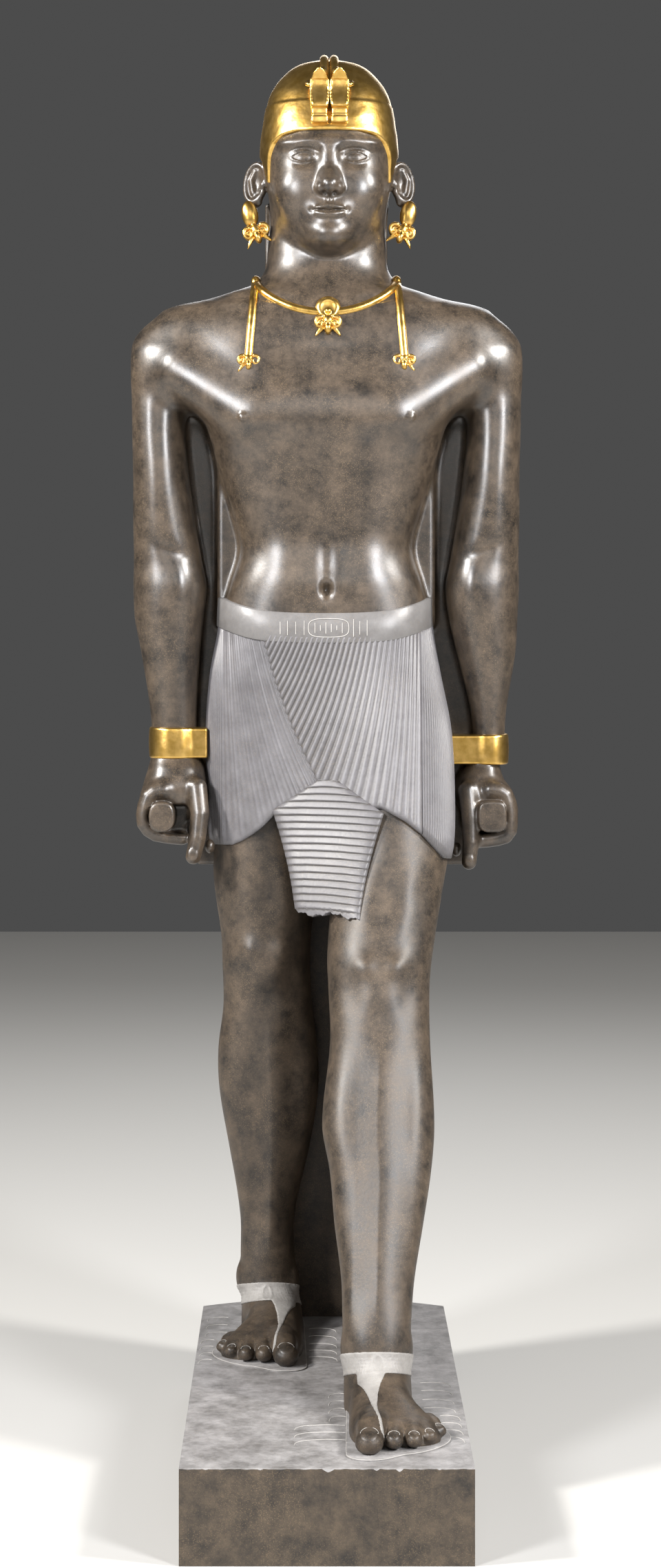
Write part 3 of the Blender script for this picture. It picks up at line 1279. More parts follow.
def belt_ring():
    turns = np.linspace(0, 2 * math.pi, 240, endpoint=False)
    high = BELT["height"]
    profile = [
        (0, -0.006), (0, 0.0036), (0.002, 0.0054), (high / 2, 0.0060),
        (high - 0.002, 0.0054), (high, 0.0036), (high, -0.006),
    ]
    rings = []
    for up, proud in profile:
        spot, out = kilt_skin(turns, belt_height(turns) + up)
        rings.append(spot + out * proud)
    return tube_shell(np.array(rings))


def tab_half(z):
    above = (z - TAB["corner"]) / (TAB["top"] - TAB["corner"])
    upper = TAB["corner_half"] + (TAB["top_half"] - TAB["corner_half"]) * above
    below = np.clip((z - TAB["bottom"]) / (TAB["corner"] - TAB["bottom"]), 0, 1)
    lower = TAB["bottom_half"] + (TAB["corner_half"] - TAB["bottom_half"]) * below ** 1.5
    return np.where(z < TAB["corner"], lower, upper)


def tab_sheet():
    rows, cols = 190, 41
    across = np.linspace(-1, 1, cols)[None]
    level = np.linspace(TAB["top"], TAB["bottom"], rows)[:, None]
    broken = 0.006 + 0.004 * np.sin(5.2 * across + 0.6) + 0.0022 * np.sin(17 * across)
    broken = broken + 0.0013 * np.sin(41 * across + 2)
    z = level + broken * ramp(TAB["bottom"] + 0.03, TAB["bottom"], level)
    x = TAB["x"] + across * tab_half(level)
    round_edge = 0.004 * np.abs(across) ** 14
    sag = 0.003 * across * across
    step = np.mod((TAB["top"] - z - sag) / TAB["pitch"], 1)
    pleat = TAB["deep"] * np.where(step < 0.84, step / 0.84, (1 - step) / 0.16)
    worn = ramp(0, 0.02, z - TAB["bottom"] - 0.004)
    inside = 1 - 0.75 * np.abs(across) ** 12
    grow = TAB["proud"] + pleat * worn * inside - round_edge
    back = on_front(x, z, np.full(x.shape, -0.022))
    tone = 0.8 * np.minimum(step / 0.35, 1) * np.where(step < 0.84, 1, (1 - step) / 0.16)
    return shell(on_front(x, z, grow), back, tone)


belt = assemble("belt", [belt_ring()])
tab = assemble("kilt_tab", [tab_sheet()])

# %% [markdown]
# ## Crown and cobras
#
# The cap crown is the skull's own form grown by the thickness of the cap, with a band round its lower
# edge, a narrow tab in front of each ear and a lower edge at the nape. Two cobras rear up side by side
# over the forehead, and their bodies run back over the top.

# %% Cap crown
CAP_THICK = 0.0062
BAND_TOP = 2.616
CROWN_EDGE = [
    (0.140, 2.554), (0.172, 2.552), (0.190, 2.545), (0.206, 2.532), (0.220, 2.510), (0.232, 2.480),
    (0.242, 2.460), (0.247, 2.462), (0.262, 2.506), (0.275, 2.514), (0.330, 2.516), (0.352, 2.500),
    (0.368, 2.440), (0.480, 2.436),
]


def crown(p):
    y, z = p[:, 1], p[:, 2]
    edge = np.interp(y, [e[0] for e in CROWN_EDGE], [e[1] for e in CROWN_EDGE])
    hammered = 0.0004 * np.sin(p[:, 0] * 70 + 3 * np.sin(z * 45)) * np.sin(z * 60 + y * 38)
    band = 0.0018 * (1 - ramp(BAND_TOP - 0.0015, BAND_TOP + 0.0015, z))
    thin = 0.0030 * ramp(2.53, 2.475, z) * (y < 0.27)
    cap = limb(p, SKULL_CURVE, 2.25, CAP_THICK - 0.0008) - band - hammered + thin
    return soft_keep(cap, (edge - z) * 0.75, 0.003)


def crown_top(y):
    """Height of the crown over its middle line."""
    table = SKULL_CURVE[SKULL_CURVE[:, 0] > 2.56]
    reach = np.where(y < table[:, 2], table[:, 2] - table[:, 4] <= y, table[:, 2] + table[:, 5] >= y)
    return table[reach, 0].max() + CAP_THICK if reach.any() else 2.56


crown_piece = sculpt("gilded_crown", crown, (-0.14, 0.12, 2.43), (0.16, 0.475, 2.735),
    (0.0038, [(0.275, 0.0026), (0.475, 0.0056)], [(2.56, 0.0028), (2.735, 0.0046)]))

# %% Cobras
COBRA_APART = 0.0195
HOOD = [
    (2566, 17), (2578, 16), (2590, 15.5), (2596, 16.8), (2612, 18.6), (2632, 19.4), (2648, 18.0),
    (2660, 13.0), (2668, 5.0), (2670, 1.0),
]


def cobra(p, side):
    """A shield with a raised rim, a head like a low arch above it and a narrow block below."""
    x = p[:, 0] - HEAD_X * MM - side * COBRA_APART
    y, z = p[:, 1], p[:, 2]
    half = np.interp(z, [h[0] * MM for h in HOOD], [h[1] * MM for h in HOOD])
    lean = 0.1475 - 0.010 * ramp(2.640, 2.595, z)
    front = lean + 6.0 * x * x + 0.011 * ramp(2.5955, 2.5925, z)
    rim = 0.0022 * ramp(half - 0.0042, half - 0.0022, np.abs(x)) * (z > 2.597)
    inside = soft_keep(np.abs(x) - half, z - 2.671, 0.003)
    body = soft_keep(inside, front - rim - y, 0.0015)
    body = np.maximum(body, np.maximum(y - 0.215, 2.566 - z))
    body = body + 0.0012 * bump(z - 2.580, 0.002)
    chin = 0.1335 + 0.55 * (2.668 - z) + 9.0 * x * x
    face = np.maximum(soft_keep(inside, chin - y, 0.003), 2.6485 - z)
    brow = 0.0012 * bump(inside + 0.0028, 0.0013) * (z > 2.652)
    return np.minimum(body, np.maximum(face - brow, y - 0.20))


def cobras(p):
    both = np.minimum(cobra(p, -1), cobra(p, 1))
    x = HEAD_X * MM
    for side in (-1, 1):
        loop = [
            (x + side * (0.041 + 0.004 * math.cos(t)), 0.176 + 0.010 * math.sin(t),
             2.646 + 0.004 * math.sin(t), 0.0042)
            for t in np.linspace(0, 2 * math.pi, 9)
        ]
        both = np.minimum(both, chain(p, loop))
    return both


cobra_piece = sculpt("gilded_cobras", cobras, (-0.045, 0.118, 2.56), (0.065, 0.222, 2.676), 0.0022)


# %% Tubes along a path, made with Geometry Nodes
def socket_id(tree, label):
    return next(item.identifier for item in tree.interface.items_tree if item.name == label)


def tube_tree():
    """A round cord along edges: named inputs for radius, sides, spacing and a twisted relief."""
    tree = bpy.data.node_groups.new("tube_along_path", "GeometryNodeTree")
    face = tree.interface
    face.new_socket("Geometry", in_out="INPUT", socket_type="NodeSocketGeometry")
    for label, kind, value in (
            ("Radius", "NodeSocketFloat", 0.008), ("Spacing", "NodeSocketFloat", 0.004),
            ("Sides", "NodeSocketInt", 20)):
        face.new_socket(label, in_out="INPUT", socket_type=kind).default_value = value
    face.new_socket("Material", in_out="INPUT", socket_type="NodeSocketMaterial")
    face.new_socket("Geometry", in_out="OUTPUT", socket_type="NodeSocketGeometry")
    n, link = tree.nodes.new, tree.links.new
    given, result = n("NodeGroupInput"), n("NodeGroupOutput")
    curve, resample, circle = n("GeometryNodeMeshToCurve"), n("GeometryNodeResampleCurve"), n(
        "GeometryNodeCurvePrimitiveCircle")
    sweep, smooth = n("GeometryNodeCurveToMesh"), n("GeometryNodeSetShadeSmooth")
    paint, real = n("GeometryNodeSetMaterial"), n("GeometryNodeRealizeInstances")
    resample.mode = "LENGTH"
    sweep.inputs["Fill Caps"].default_value = True
    link(given.outputs["Geometry"], curve.inputs["Mesh"])
    link(curve.outputs["Curve"], resample.inputs["Curve"])
    link(given.outputs["Spacing"], resample.inputs["Length"])
    link(given.outputs["Radius"], circle.inputs["Radius"])
    link(given.outputs["Sides"], circle.inputs["Resolution"])
    link(resample.outputs["Curve"], sweep.inputs["Curve"])
    link(circle.outputs["Curve"], sweep.inputs["Profile Curve"])
    link(sweep.outputs["Mesh"], smooth.inputs["Geometry"])
    link(smooth.outputs["Geometry"], real.inputs["Geometry"])
    link(real.outputs["Geometry"], paint.inputs["Geometry"])
    link(given.outputs["Material"], paint.inputs["Material"])
    link(paint.outputs["Geometry"], result.inputs["Geometry"])
    return tree


def grown(name, points, edges, tree, values):
    """Runs a node tree on loose points and edges and keeps the result as a plain mesh piece."""
    seed = bpy.data.meshes.new(name)
    seed.from_pydata(points, edges, [])
    piece = bpy.data.objects.new(name, seed)
    bpy.context.scene.collection.objects.link(piece)
    modifier = piece.modifiers.new("nodes", "NODES")
    modifier.node_group = tree
    for label, value in values.items():
        modifier[socket_id(tree, label)] = value
    ready = piece.evaluated_get(bpy.context.evaluated_depsgraph_get())
    mesh = bpy.data.meshes.new_from_object(ready)
    piece.modifiers.remove(modifier)
    piece.data = mesh
    mesh.name = name
    print(name, sum(len(face.vertices) - 2 for face in mesh.polygons), "triangles")
    return piece


def path_edges(count, start=0):
    return [(start + k, start + k + 1) for k in range(count - 1)]


TUBE = tube_tree()
cobra_path = []
cobra_edges = []
for side in (-1, 1):
    ahead = [(HEAD_X * MM + side * 0.0160, 0.166, 2.655), (HEAD_X * MM + side * 0.0125, 0.178, 2.672)]
    over = [(HEAD_X * MM + side * 0.0098, y, crown_top(y) - 0.0035) for y in np.linspace(0.190, 0.41, 26)]
    cobra_edges += path_edges(len(ahead + over), len(cobra_path))
    cobra_path += ahead + over
tails = grown("gilded_cobra_bodies", cobra_path, cobra_edges, TUBE, {"Radius": 0.0088, "Spacing": 0.004})

# %% [markdown]
# ## Jewellery
#
# A smooth cord lies round the neck with two hanging ends, and every end carries a ram's head with
# curled horns. Larger ones hang from the ears. The bracelets are plain wide bands.

# %% Ram heads
def ram(p, place, size, angles=(0, 0, 0)):
    """A wedge-shaped face between two thick curled horns, whose tips end in points below."""
    q = (turned(p, place, angles) / size).astype(np.float32)
    found = egg(q, (0, 0, 0.18), (0.42, 0.44, 0.60))
    found = soft_join(found, egg(q, (0, -0.26, -0.36), (0.28, 0.34, 0.44), (25, 0, 0)), 0.12)
    for side in (-1, 1):
        found = soft_join(found, egg(q, (side * 0.56, 0.06, 0.08), (0.42, 0.26, 0.46)), 0.06)
        horn = []
        for k in range(12):
            turn = math.radians(105 - 27 * k)
            reach = 0.40 - 0.020 * k
            horn.append((
                side * (0.60 + reach * math.cos(turn)), -0.16 - 0.016 * k,
                0.14 + reach * 1.15 * math.sin(turn), 0.175 - 0.008 * k))
        found = soft_join(found, chain(q, horn), 0.04)
        tip = [
            (side * 0.50, -0.10, -0.30, 0.20), (side * 0.76, -0.18, -0.62, 0.13),
            (side * 0.98, -0.22, -0.92, 0.04),
        ]
        found = soft_join(found, chain(q, tip), 0.08)
        found = soft_join(found, egg(q, (side * 0.22, -0.40, 0.16), (0.10, 0.09, 0.07)), 0.03)
    return found * size


# %% Necklace
NECKLACE = {"x": 0.140, "y": 0.262, "z": 2.264, "front_z": 2.196, "end_x": 0.152, "end_z": 2.110}
CORD_LIFT = 0.002


def chest_front(x, z):
    """How far forward the chest stands at a place seen from the front, found by stepping inwards."""
    y = np.linspace(0.08, 0.34, 261)
    line = np.stack([np.full_like(y, x), y, np.full_like(y, z)], 1).astype(np.float32)
    inside = upper_body(line) < 0
    return y[np.argmax(inside)] if inside.any() else 0.34


def on_chest(x, z, lift):
    return (BODY_X * MM + x, min(NECKLACE["y"], chest_front(BODY_X * MM + x, z) + lift), z)


cord_points, cord_edges = [], []


def lay(points):
    cord_edges.extend(path_edges(len(points), len(cord_points)))
    cord_points.extend(points)


turns = np.linspace(0, math.pi, 33)
drop = NECKLACE["z"] - NECKLACE["front_z"]
lay([
    on_chest(-NECKLACE["x"] * math.cos(t), NECKLACE["z"] - drop * math.sin(t) ** 1.4, CORD_LIFT)
    for t in turns
])
ends = []
for side in (-1, 1):
    quarter = np.linspace(math.pi / 2, 0.12, 10)
    behind = [
        (BODY_X * MM + side * NECKLACE["x"] * math.cos(t), NECKLACE["y"] + 0.150 * math.sin(t),
         NECKLACE["z"] + 0.008)
        for t in quarter
    ]
    run = np.linspace(0.03, 1, 16)
    hang = [
        on_chest(side * (NECKLACE["x"] + (NECKLACE["end_x"] - NECKLACE["x"]) * t),
                 NECKLACE["z"] + (NECKLACE["end_z"] - NECKLACE["z"]) * t, CORD_LIFT)
        for t in run
    ]
    bend = [(hang[0][0], hang[0][1] + 0.004, NECKLACE["z"] + 0.0055)]
    lay(behind + bend + hang)
    ends.append(hang[-1])
cords = grown("gilded_necklace_cords", cord_points, cord_edges, TUBE, {"Radius": 0.0085, "Spacing": 0.004})
PENDANT_X = (BODY_X + 3) * MM


def pendants(p):
    found = None
    for x, y, z in ends:
        one = ram(p, (x, y - 0.001, z - 0.012), 0.0215)
        found = one if found is None else np.minimum(found, one)
    y = chest_front(PENDANT_X, 2.204)
    disc = egg(p, (PENDANT_X, y, 2.204), (0.025, 0.012, 0.025), (-14, 0, 0))
    disc = soft_cut(disc, egg(p, (PENDANT_X, y - 0.012, 2.204), (0.019, 0.0055, 0.019), (-14, 0, 0)), 0.002)
    bead = egg(p, (PENDANT_X, y - 0.010, 2.198), (0.006, 0.006, 0.006))
    head = ram(p, (PENDANT_X, chest_front(PENDANT_X, 2.17) - 0.004, 2.171), 0.0255)
    return np.minimum(np.minimum(found, soft_join(disc, bead, 0.002)), head)


pendant_piece = sculpt("gilded_pendants", pendants, (-0.19, 0.125, 2.06), (0.20, 0.215, 2.236), 0.0019)


# %% Earrings
def earrings(p):
    found = None
    for side in (-1, 1):
        x = HEAD_X * MM + side * 0.150
        one = ram(p, (x - side * 0.006, 0.276, 2.364), 0.0265, (0, side * 17, 0))
        disc = egg(p, (x + side * 0.008, 0.284, 2.404), (0.0165, 0.011, 0.0275), (0, side * 10, 0))
        one = soft_join(one, disc, 0.003)
        found = one if found is None else np.minimum(found, one)
    return found


earring_piece = sculpt("gilded_earrings", earrings, (-0.185, 0.235, 2.320), (0.205, 0.300, 2.436), 0.0021)

# %% Bracelets
BRACELETS = {-1: (1.3185, 1.3805), 1: (1.3065, 1.3665)}
BRACELET_CELL = 0.0027


def bracelet(p, side):
    x, w = WRISTS[side]
    low, high = BRACELETS[side]
    level = p[:, 2] - (low + high) / 2
    half = (high - low) / 2
    proud = 0.0045 + 0.0015 * (1 - (level / half) ** 2)
    dx, dy = p[:, 0] - (BODY_X + side * x) * MM, p[:, 1] - AXIS_Y * MM
    ring = oval_gap(dx, dy, w * MM + 0.0005, 0.0495, 2.4) - proud
    near, far = sorted(((BODY_X + side * x) * MM, (BODY_X + side * 236) * MM))
    face = AXIS_Y * MM - (0.045 if side < 0 else 0.0495)
    bridge = brick(p, (near, face, low), (far, AXIS_Y * MM + 0.052, high), 0.004)
    return soft_keep(soft_join(ring, bridge, 0.006), np.abs(level) - half, 0.004)


bracelets = []
for side in (-1, 1):
    low, high = sorted((BODY_X * MM + side * 0.215, BODY_X * MM + side * 0.375))
    name = "gilded_bracelet_left" if side > 0 else "gilded_bracelet_right"
    bracelets.append(sculpt(
        name, lambda p: bracelet(p, side), (low, 0.235, 1.295), (high, 0.365, 1.39), BRACELET_CELL))

# %% [markdown]
# ## Pillar, webs and plinth
#
# Behind the figure a pillar rises from the plinth to the shoulders, and a web of stone fills the space
# between the advanced leg and the pillar. These parts are plain planes with worn edges.

# %% Pillar and leg web
PILLAR = {
    "half": 0.108, "front": 0.440, "back": 0.588, "top": 2.150, "cap": 0.040,
    "seat": 0.380, "seat_from": 1.180, "seat_to": 1.300,
}
LEG_WEB = {"left": 0.064, "right": 0.126, "shin": -0.215, "thigh": 0.240, "top": 1.250, "bury": 0.020}
PLINTH = {"half": 0.250, "height": 0.165, "front": -0.600, "corner": 0.530, "back": 0.600, "sink": 0.008}


def side_plate(x0, x1, outline):
    """A flat plate with its outline in Y and Z, from one x to another."""
    return tube_shell(np.array([[(x, y, z) for y, z in outline] for x in (x0, x1)]))


def pillar_plates():
    low, inside = PLINTH["height"] - PLINTH["sink"], PILLAR["front"] + LEG_WEB["bury"]
    post = side_plate(BODY_X * MM - PILLAR["half"], BODY_X * MM + PILLAR["half"], [
        (PILLAR["front"], low), (PILLAR["back"], low), (PILLAR["back"], PILLAR["top"] - PILLAR["cap"]),
        (PILLAR["back"] - PILLAR["cap"], PILLAR["top"]), (PILLAR["seat"], PILLAR["top"]),
        (PILLAR["seat"], PILLAR["seat_to"]), (PILLAR["front"], PILLAR["seat_from"]),
    ])
    web = side_plate(LEG_WEB["left"], LEG_WEB["right"], [
        (LEG_WEB["shin"], low), (inside, low), (inside, LEG_WEB["top"]), (LEG_WEB["thigh"], LEG_WEB["top"]),
    ])
    return [post, web]


pillar = soften(assemble("back_pillar_and_web", pillar_plates()), 0.004)
pillar.data.set_sharp_from_angle(angle=math.radians(20))


# %% Plinth
CHIPS = [
    (-0.112, 0.005, 0.002), (0.002, 0.010, 0.005), (0.084, 0.005, 0.003), (0.123, 0.006, 0.0045),
    (0.190, 0.004, 0.002), (-0.205, 0.005, 0.002),
]


def plinth_shell():
    across = np.linspace(-PLINTH["half"], PLINTH["half"], 500)
    wear = 0.0014 + 0.0004 * np.sin(across * 130) + 0.0003 * np.sin(across * 317 + 1)
    for x, width, deep in CHIPS:
        wear = wear + deep * np.clip(1 - np.abs(across - x) / width, 0, 1) ** 0.7
    back = PLINTH["corner"] + (PLINTH["back"] - PLINTH["corner"]) * (1 - (across / PLINTH["half"]) ** 2)
    front, top = PLINTH["front"], PLINTH["height"]
    rings = []
    for x, worn, y in zip(across, wear, back):
        rings.append([
            (x, front, 0), (x, front, (top - worn) / 2), (x, front, top - worn),
            (x, front + worn * 0.35, top - worn * 0.3), (x, front + worn, top),
            (x, 0, top), (x, y - 0.002, top), (x, y, top - 0.002), (x, y, 0),
        ])
    return tube_shell(np.array(rings))


plinth = assemble("plinth", [plinth_shell()])
for face in plinth.data.polygons:
    face.use_smooth = False

# %% [markdown]
# ## Scratched lines
#
# Fine pale lines are scratched into the stone: rows of bows on the plinth round the feet, the edges of
# the toenails, and a ring with dashes on the belt. Each line is a path of points that is swept with the
# same node tree as the cords, as a cord under a millimetre thick that lies half sunk in the surface.

# %% Paths of the scratched lines
line_points, line_edges = [], []


def scratch(points):
    line_edges.extend(path_edges(len(points), len(line_points)))
    line_points.extend([tuple(float(v) for v in point) for point in points])


def bow_row(x_foot, x_edge, y):
    """One bow seen from above: a long level line that turns forwards at its outer end."""
    t = np.linspace(0, 1, 14)
    bend = np.clip((t - 0.72) / 0.28, 0, 1)
    x = x_foot + (x_edge - x_foot) * np.minimum(t, 0.72 + 0.22 * np.sin(bend * math.pi / 2))
    away = y + 0.004 * np.sin(t * 5) - 0.026 * bend ** 2
    scratch(np.stack([x, away, np.full_like(t, PLINTH["height"])], 1))


BOWS = [
    (0.205, 0.243, (-0.42, -0.375, -0.33, -0.285)), (0.178, 0.238, (-0.235, -0.18, -0.12, -0.065)),
    (0.034, -0.062, (-0.435, -0.39, -0.345)), (0.036, 0.004, (-0.29, -0.24, -0.19, -0.14)),
    (-0.218, -0.245, (0.10, 0.15, 0.20, 0.25)), (-0.195, -0.240, (0.31, 0.37, 0.43)),
    (-0.030, 0.028, (0.12, 0.17, 0.22, 0.28, 0.34)),
]
for x_foot, x_edge, rows in BOWS:
    for y in rows:
        bow_row(x_foot, x_edge, y)


def drop(field, x, y, top, bottom):
    """Heights at which upright lines first meet a form, from above."""
    z = np.linspace(top, bottom, 120)
    grid = np.stack([np.repeat(x, len(z)), np.repeat(y, len(z)), np.tile(z, len(x))], 1).astype(np.float32)
    inside = (ask(field, grid) < 0).reshape(len(x), len(z))
    return z[np.argmax(inside, axis=1)]


for which in LEGS:
    tip_x, tip_y, side = FEET[which]
    for spec in TOES:
        (x0, y0), (x1, y1) = spec["root"], spec["tip"]
        along = np.array((x0 - x1, y0 - y1)) / math.hypot(x0 - x1, y0 - y1)
        wide, long = spec["r"][1] * 0.62, spec["r"][1] * 0.85
        turn = np.linspace(-0.35, math.pi + 0.35, 15)
        across, back = wide * np.cos(turn), long * (0.10 + 0.75 * np.sin(turn))
        u = x1 + along[0] * back - along[1] * across
        v = y1 + along[1] * back + along[0] * across
        x, y = tip_x + side * u * MM, tip_y + v * MM
        z = drop(lambda p: foot(p, which), x, y, FLOOR + 0.06, FLOOR + 0.004)
        scratch(np.stack([x, y, z], 1))
    edge = round_through(SOLE) * MM
    loop = np.stack([tip_x + side * edge[:, 0], tip_y + edge[:, 1], np.full(len(edge), FLOOR - 0.0008)], 1)
    scratch(np.concatenate([loop, loop[:1]]))
print("lines on plinth and feet", len(line_points))

# %% Ring and dashes on the belt
RING = {"x": 0.008, "z": 1.579, "half": 0.039, "high": 0.018}
SIGNS = (0.020, 0.011, 0.022, 0.016, 0.009, 0.020)
UPRIGHTS = [
    (-0.085, 0.012), (-0.071, 0.014), (-0.055, 0.012), (-0.039, 0.014),
    (0.056, 0.017), (0.068, 0.013), (0.082, 0.015),
]
THIN_LINE = {"Radius": 0.0007, "Spacing": 0.004, "Sides": 6}


def squash(value):
    """Turns the wave of a circle into that of a ring with nearly square ends."""
    return np.sign(value) * np.abs(value) ** 0.6


def belt_line(points):
    x, z = np.array(points, float).T
    scratch(on_front(x, z, np.full(len(x), 0.0060)))


turn = np.linspace(0, 2 * math.pi, 41)
ring_x = RING["x"] + RING["half"] * squash(np.cos(turn))
ring_z = RING["z"] + RING["high"] * squash(np.sin(turn))
belt_line(np.stack([ring_x, ring_z], 1))
for number, length in enumerate(SIGNS):
    x = RING["x"] + (number - 2.5) * 0.0105
    belt_line([(x, RING["z"] + length / 2), (x, RING["z"] - length / 2)])
for x, reach in UPRIGHTS:
    belt_line([(x, RING["z"] + reach), (x, RING["z"] - reach)])
scratches = grown("scratched_lines", line_points, line_edges, TUBE, THIN_LINE)

# %% [markdown]
# ## Finishes
#
# The same stone has many finishes here: polished flesh, legs and pillar rubbed less bright, matt cloth,
# a smoother belt, rough sandals, sawn sides and a worn top on the plinth, and pale scratched lines.
# Flecks and cloudy patches belong to the stone itself, so one shader group makes them for all, and
# each material adds its own colour and gloss. The cloth also darkens where the piece's attribute says
# that a groove is deep. The gold is leaf laid over carved stone, so it follows small waves of the
# ground below it, and the plain bracelets show weaker waves than the carved ornaments.

# %% Shared stone pattern
STONE_DARK = (0.014, 0.0112, 0.009, 1)
STONE_LIGHT = (0.094, 0.068, 0.046, 1)
FLECK = (0.32, 0.225, 0.125, 1)


def shader_group(name, inputs, outputs):
    tree = bpy.data.node_groups.new(name, "ShaderNodeTree")
    for label, kind, value in inputs:
        socket = tree.interface.new_socket(label, in_out="INPUT", socket_type=kind)
        if value is not None:
            socket.default_value = value
    for label, kind in outputs:
        tree.interface.new_socket(label, in_out="OUTPUT", socket_type=kind)
    return tree, tree.nodes.new("NodeGroupInput"), tree.nodes.new("NodeGroupOutput")


def math_node(tree, operation, a, b=None):
    node = tree.nodes.new("ShaderNodeMath")
    node.operation = operation
    for socket, value in zip(node.inputs, (a, b)):
        if isinstance(value, bpy.types.NodeSocket):
            tree.links.new(value, socket)
        elif value is not None:
            socket.default_value = value
    return node.outputs[0]


def noise(tree, vector, scale, detail, roughness=0.5):
    node = tree.nodes.new("ShaderNodeTexNoise")
    node.inputs["Scale"].default_value = scale
    node.inputs["Detail"].default_value = detail
    node.inputs["Roughness"].default_value = roughness
    tree.links.new(vector, node.inputs["Vector"])
    return node.outputs["Fac"]


def spread(tree, value, low, high, to_low=0.0, to_high=1.0):
    node = tree.nodes.new("ShaderNodeMapRange")
    node.inputs["From Min"].default_value = low
    node.inputs["From Max"].default_value = high
    node.inputs["To Min"].default_value = to_low
    node.inputs["To Max"].default_value = to_high
    tree.links.new(value, node.inputs["Value"])
    return node.outputs["Result"]


def blend(tree, share, a, b):
    node = tree.nodes.new("ShaderNodeMix")
    node.data_type = "RGBA"
    tree.links.new(share, node.inputs[0])
    for socket, value in ((node.inputs[6], a), (node.inputs[7], b)):
        if isinstance(value, bpy.types.NodeSocket):
            tree.links.new(value, socket)
        else:
            socket.default_value = value
    return node.outputs[2]


def stone_group():
    tree, given, result = shader_group(
        "stone_pattern", [("Vector", "NodeSocketVector", None)],
        [("Fleck", "NodeSocketFloat"), ("Cloud", "NodeSocketFloat"), ("Grain", "NodeSocketFloat")])
    vector = given.outputs["Vector"]
    cells = tree.nodes.new("ShaderNodeTexVoronoi")
    cells.inputs["Scale"].default_value = 480
    tree.links.new(vector, cells.inputs["Vector"])
    split = tree.nodes.new("ShaderNodeSeparateColor")
    tree.links.new(cells.outputs["Color"], split.inputs["Color"])
    chosen = spread(tree, split.outputs["Red"], 0.35, 1.0)
    patches = spread(tree, noise(tree, vector, 14, 3), 0.36, 0.66, 0.25, 1)
    near = spread(tree, cells.outputs["Distance"], 0.10, 0.60, 1, 0)
    fleck = math_node(tree, "MULTIPLY", math_node(tree, "MULTIPLY", chosen, near), patches)
    tree.links.new(fleck, result.inputs["Fleck"])
    tree.links.new(spread(tree, noise(tree, vector, 20, 9, 0.76), 0.36, 0.76), result.inputs["Cloud"])
    tree.links.new(noise(tree, vector, 160, 3), result.inputs["Grain"])
    return tree


STONE_PATTERN = stone_group()


# %% Finishes of the stone and the gold
def material(name):
    made = bpy.data.materials.new(name)
    made.use_nodes = True
    tree = made.node_tree
    shader = tree.nodes["Principled BSDF"]
    where = tree.nodes.new("ShaderNodeTexCoord").outputs["Object"]
    return made, tree, shader, where


def bump_normal(tree, height, distance, strength=1.0):
    node = tree.nodes.new("ShaderNodeBump")
    node.inputs["Distance"].default_value = distance
    node.inputs["Strength"].default_value = strength
    tree.links.new(height, node.inputs["Height"])
    return node.outputs["Normal"]


def stone(name, dark, light, fleck_share, gloss, waviness, groove=None):
    made, tree, shader, where = material(name)
    pattern = tree.nodes.new("ShaderNodeGroup")
    pattern.node_tree = STONE_PATTERN
    tree.links.new(where, pattern.inputs["Vector"])
    ground = blend(tree, pattern.outputs["Cloud"], dark, light)
    if groove:
        height = tree.nodes.new("ShaderNodeAttribute")
        height.attribute_name = "height"
        ground = blend(tree, height.outputs["Fac"], groove, ground)
    share = math_node(tree, "MULTIPLY", pattern.outputs["Fleck"], fleck_share)
    tree.links.new(blend(tree, share, ground, FLECK), shader.inputs["Base Color"])
    rough = spread(tree, pattern.outputs["Cloud"], 0, 1, gloss[0], gloss[1])
    tree.links.new(rough, shader.inputs["Roughness"])
    tree.links.new(bump_normal(tree, pattern.outputs["Grain"], waviness), shader.inputs["Normal"])
    return made


POLISH = 0.75
GROOVE = (0.05, 0.045, 0.042, 1)
polished = stone("polished_stone", STONE_DARK, STONE_LIGHT, 0.34, (0.30, 0.40), 0.00012)
polished.node_tree.nodes["Principled BSDF"].inputs["Specular IOR Level"].default_value = POLISH
rubbed = stone("rubbed_stone", STONE_DARK, STONE_LIGHT, 0.34, (0.42, 0.52), 0.0002)
matt = stone(
    "matt_cloth_stone", (0.100, 0.097, 0.104, 1), (0.172, 0.168, 0.179, 1), 0.25, (0.40, 0.52), 0.0003,
    GROOVE)
girdle = stone("belt_stone", (0.115, 0.11, 0.108, 1), (0.175, 0.17, 0.168, 1), 0.3, (0.34, 0.44), 0.0002)
sawn = stone(
    "plinth_stone", (0.014, 0.0115, 0.0095, 1), (0.100, 0.073, 0.047, 1), 0.35, (0.55, 0.70), 0.0004)
worn = stone("plinth_top_stone", (0.12, 0.115, 0.112, 1), (0.34, 0.33, 0.33, 1), 0.2, (0.45, 0.62), 0.0005)
chalk = stone("pale_line_stone", (0.34, 0.33, 0.31, 1), (0.48, 0.46, 0.44, 1), 0.1, (0.6, 0.7), 0.0002)
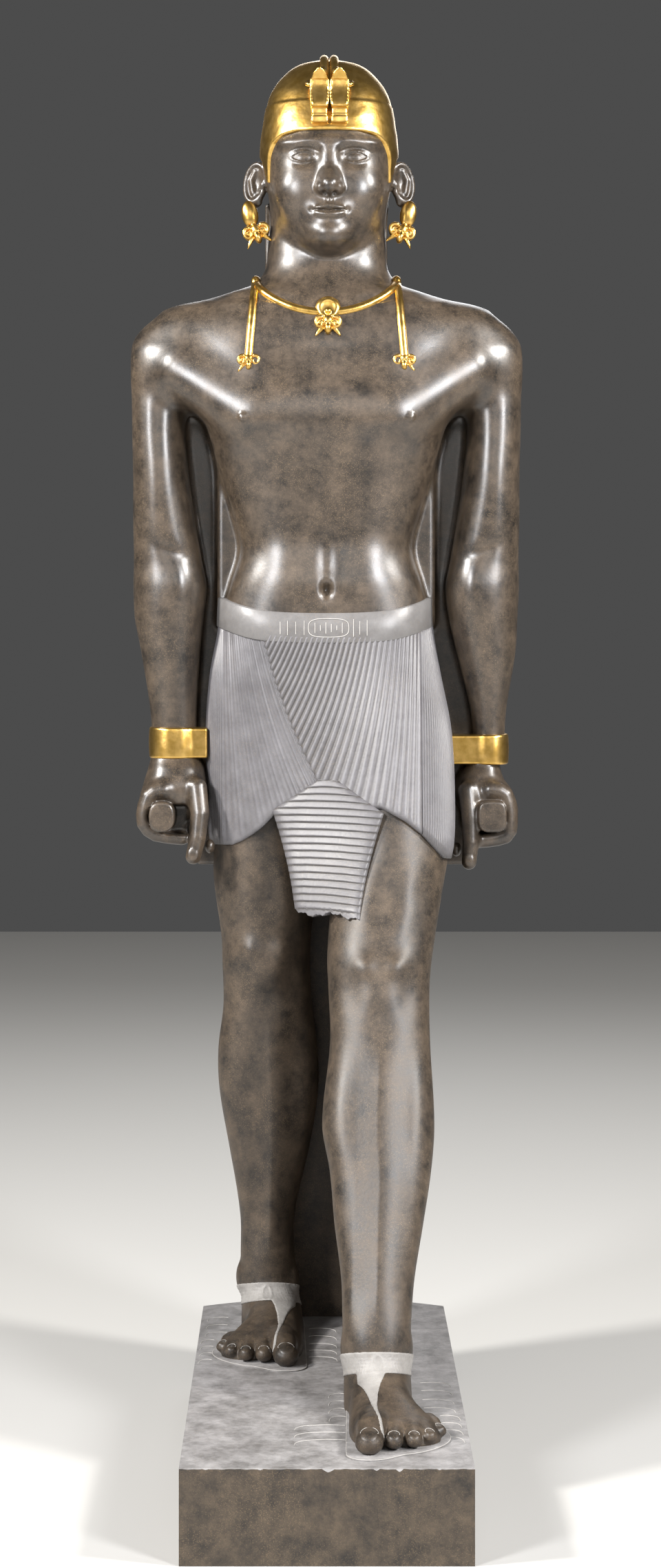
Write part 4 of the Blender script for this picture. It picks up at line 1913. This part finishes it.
sandal_stone = stone("sandal_stone", (0.20, 0.19, 0.18, 1), (0.33, 0.32, 0.305, 1), 0.3, (0.5, 0.65), 0.0006)


GOLD_DARK = (0.56, 0.34, 0.08, 1)
GOLD_LIGHT = (0.76, 0.49, 0.15, 1)


def gold(name, dents):
    made, tree, shader, where = material(name)
    shader.inputs["Metallic"].default_value = 1.0
    shader.inputs["Roughness"].default_value = 0.30
    waves = noise(tree, where, 26, 3)
    patches = spread(tree, noise(tree, where, 60, 4), 0.35, 0.65)
    tone = blend(tree, patches, GOLD_DARK, GOLD_LIGHT)
    tree.links.new(tone, shader.inputs["Base Color"])
    tree.links.new(bump_normal(tree, waves, dents), shader.inputs["Normal"])
    return made


gold_leaf = gold("gold_leaf", 0.0016)
gold_band = gold("gold_band", 0.0011)

# %% Which piece gets which finish
FINISHES = [
    (polished, "polished_stone", [upper, face_piece] + hands),
    (rubbed, "polished_stone", [pillar] + legs + feet),
    (matt, "rough_stone", [kilt, tab]),
    (girdle, "rough_stone", [belt]),
    (sandal_stone, "rough_stone", bands),
    (worn, "rough_stone", soles),
    (chalk, "rough_stone", [scratches]),
    ((sawn, worn), "polished_stone", [plinth]),
    (gold_leaf, "gold_leaf", [crown_piece, cobra_piece, tails, cords, pendant_piece, earring_piece]),
    (gold_band, "gold_leaf", bracelets),
]
for finish, slot, pieces in FINISHES:
    for piece in pieces:
        piece.data.materials.clear()
        for each in finish if isinstance(finish, tuple) else (finish,):
            piece.data.materials.append(each)
        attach(piece, "root")
        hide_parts(SOLID)
for face in plinth.data.polygons:
    face.material_index = int(face.normal.z > 0.2)

# %% Floor
floor_mesh = bpy.data.meshes.new("floor")
floor_mesh.from_pydata([(-9, -9, 0), (9, -9, 0), (9, 9, 0), (-9, 9, 0)], [], [(0, 1, 2, 3)])
floor = bpy.data.objects.new("floor", floor_mesh)
bpy.context.scene.collection.objects.link(floor)
floor_material, _, floor_shader, _ = material("floor")
floor_shader.inputs["Base Color"].default_value = (0.46, 0.455, 0.44, 1)
floor_shader.inputs["Roughness"].default_value = 0.8
floor.data.materials.append(floor_material)
floor.location.z = -0.0005
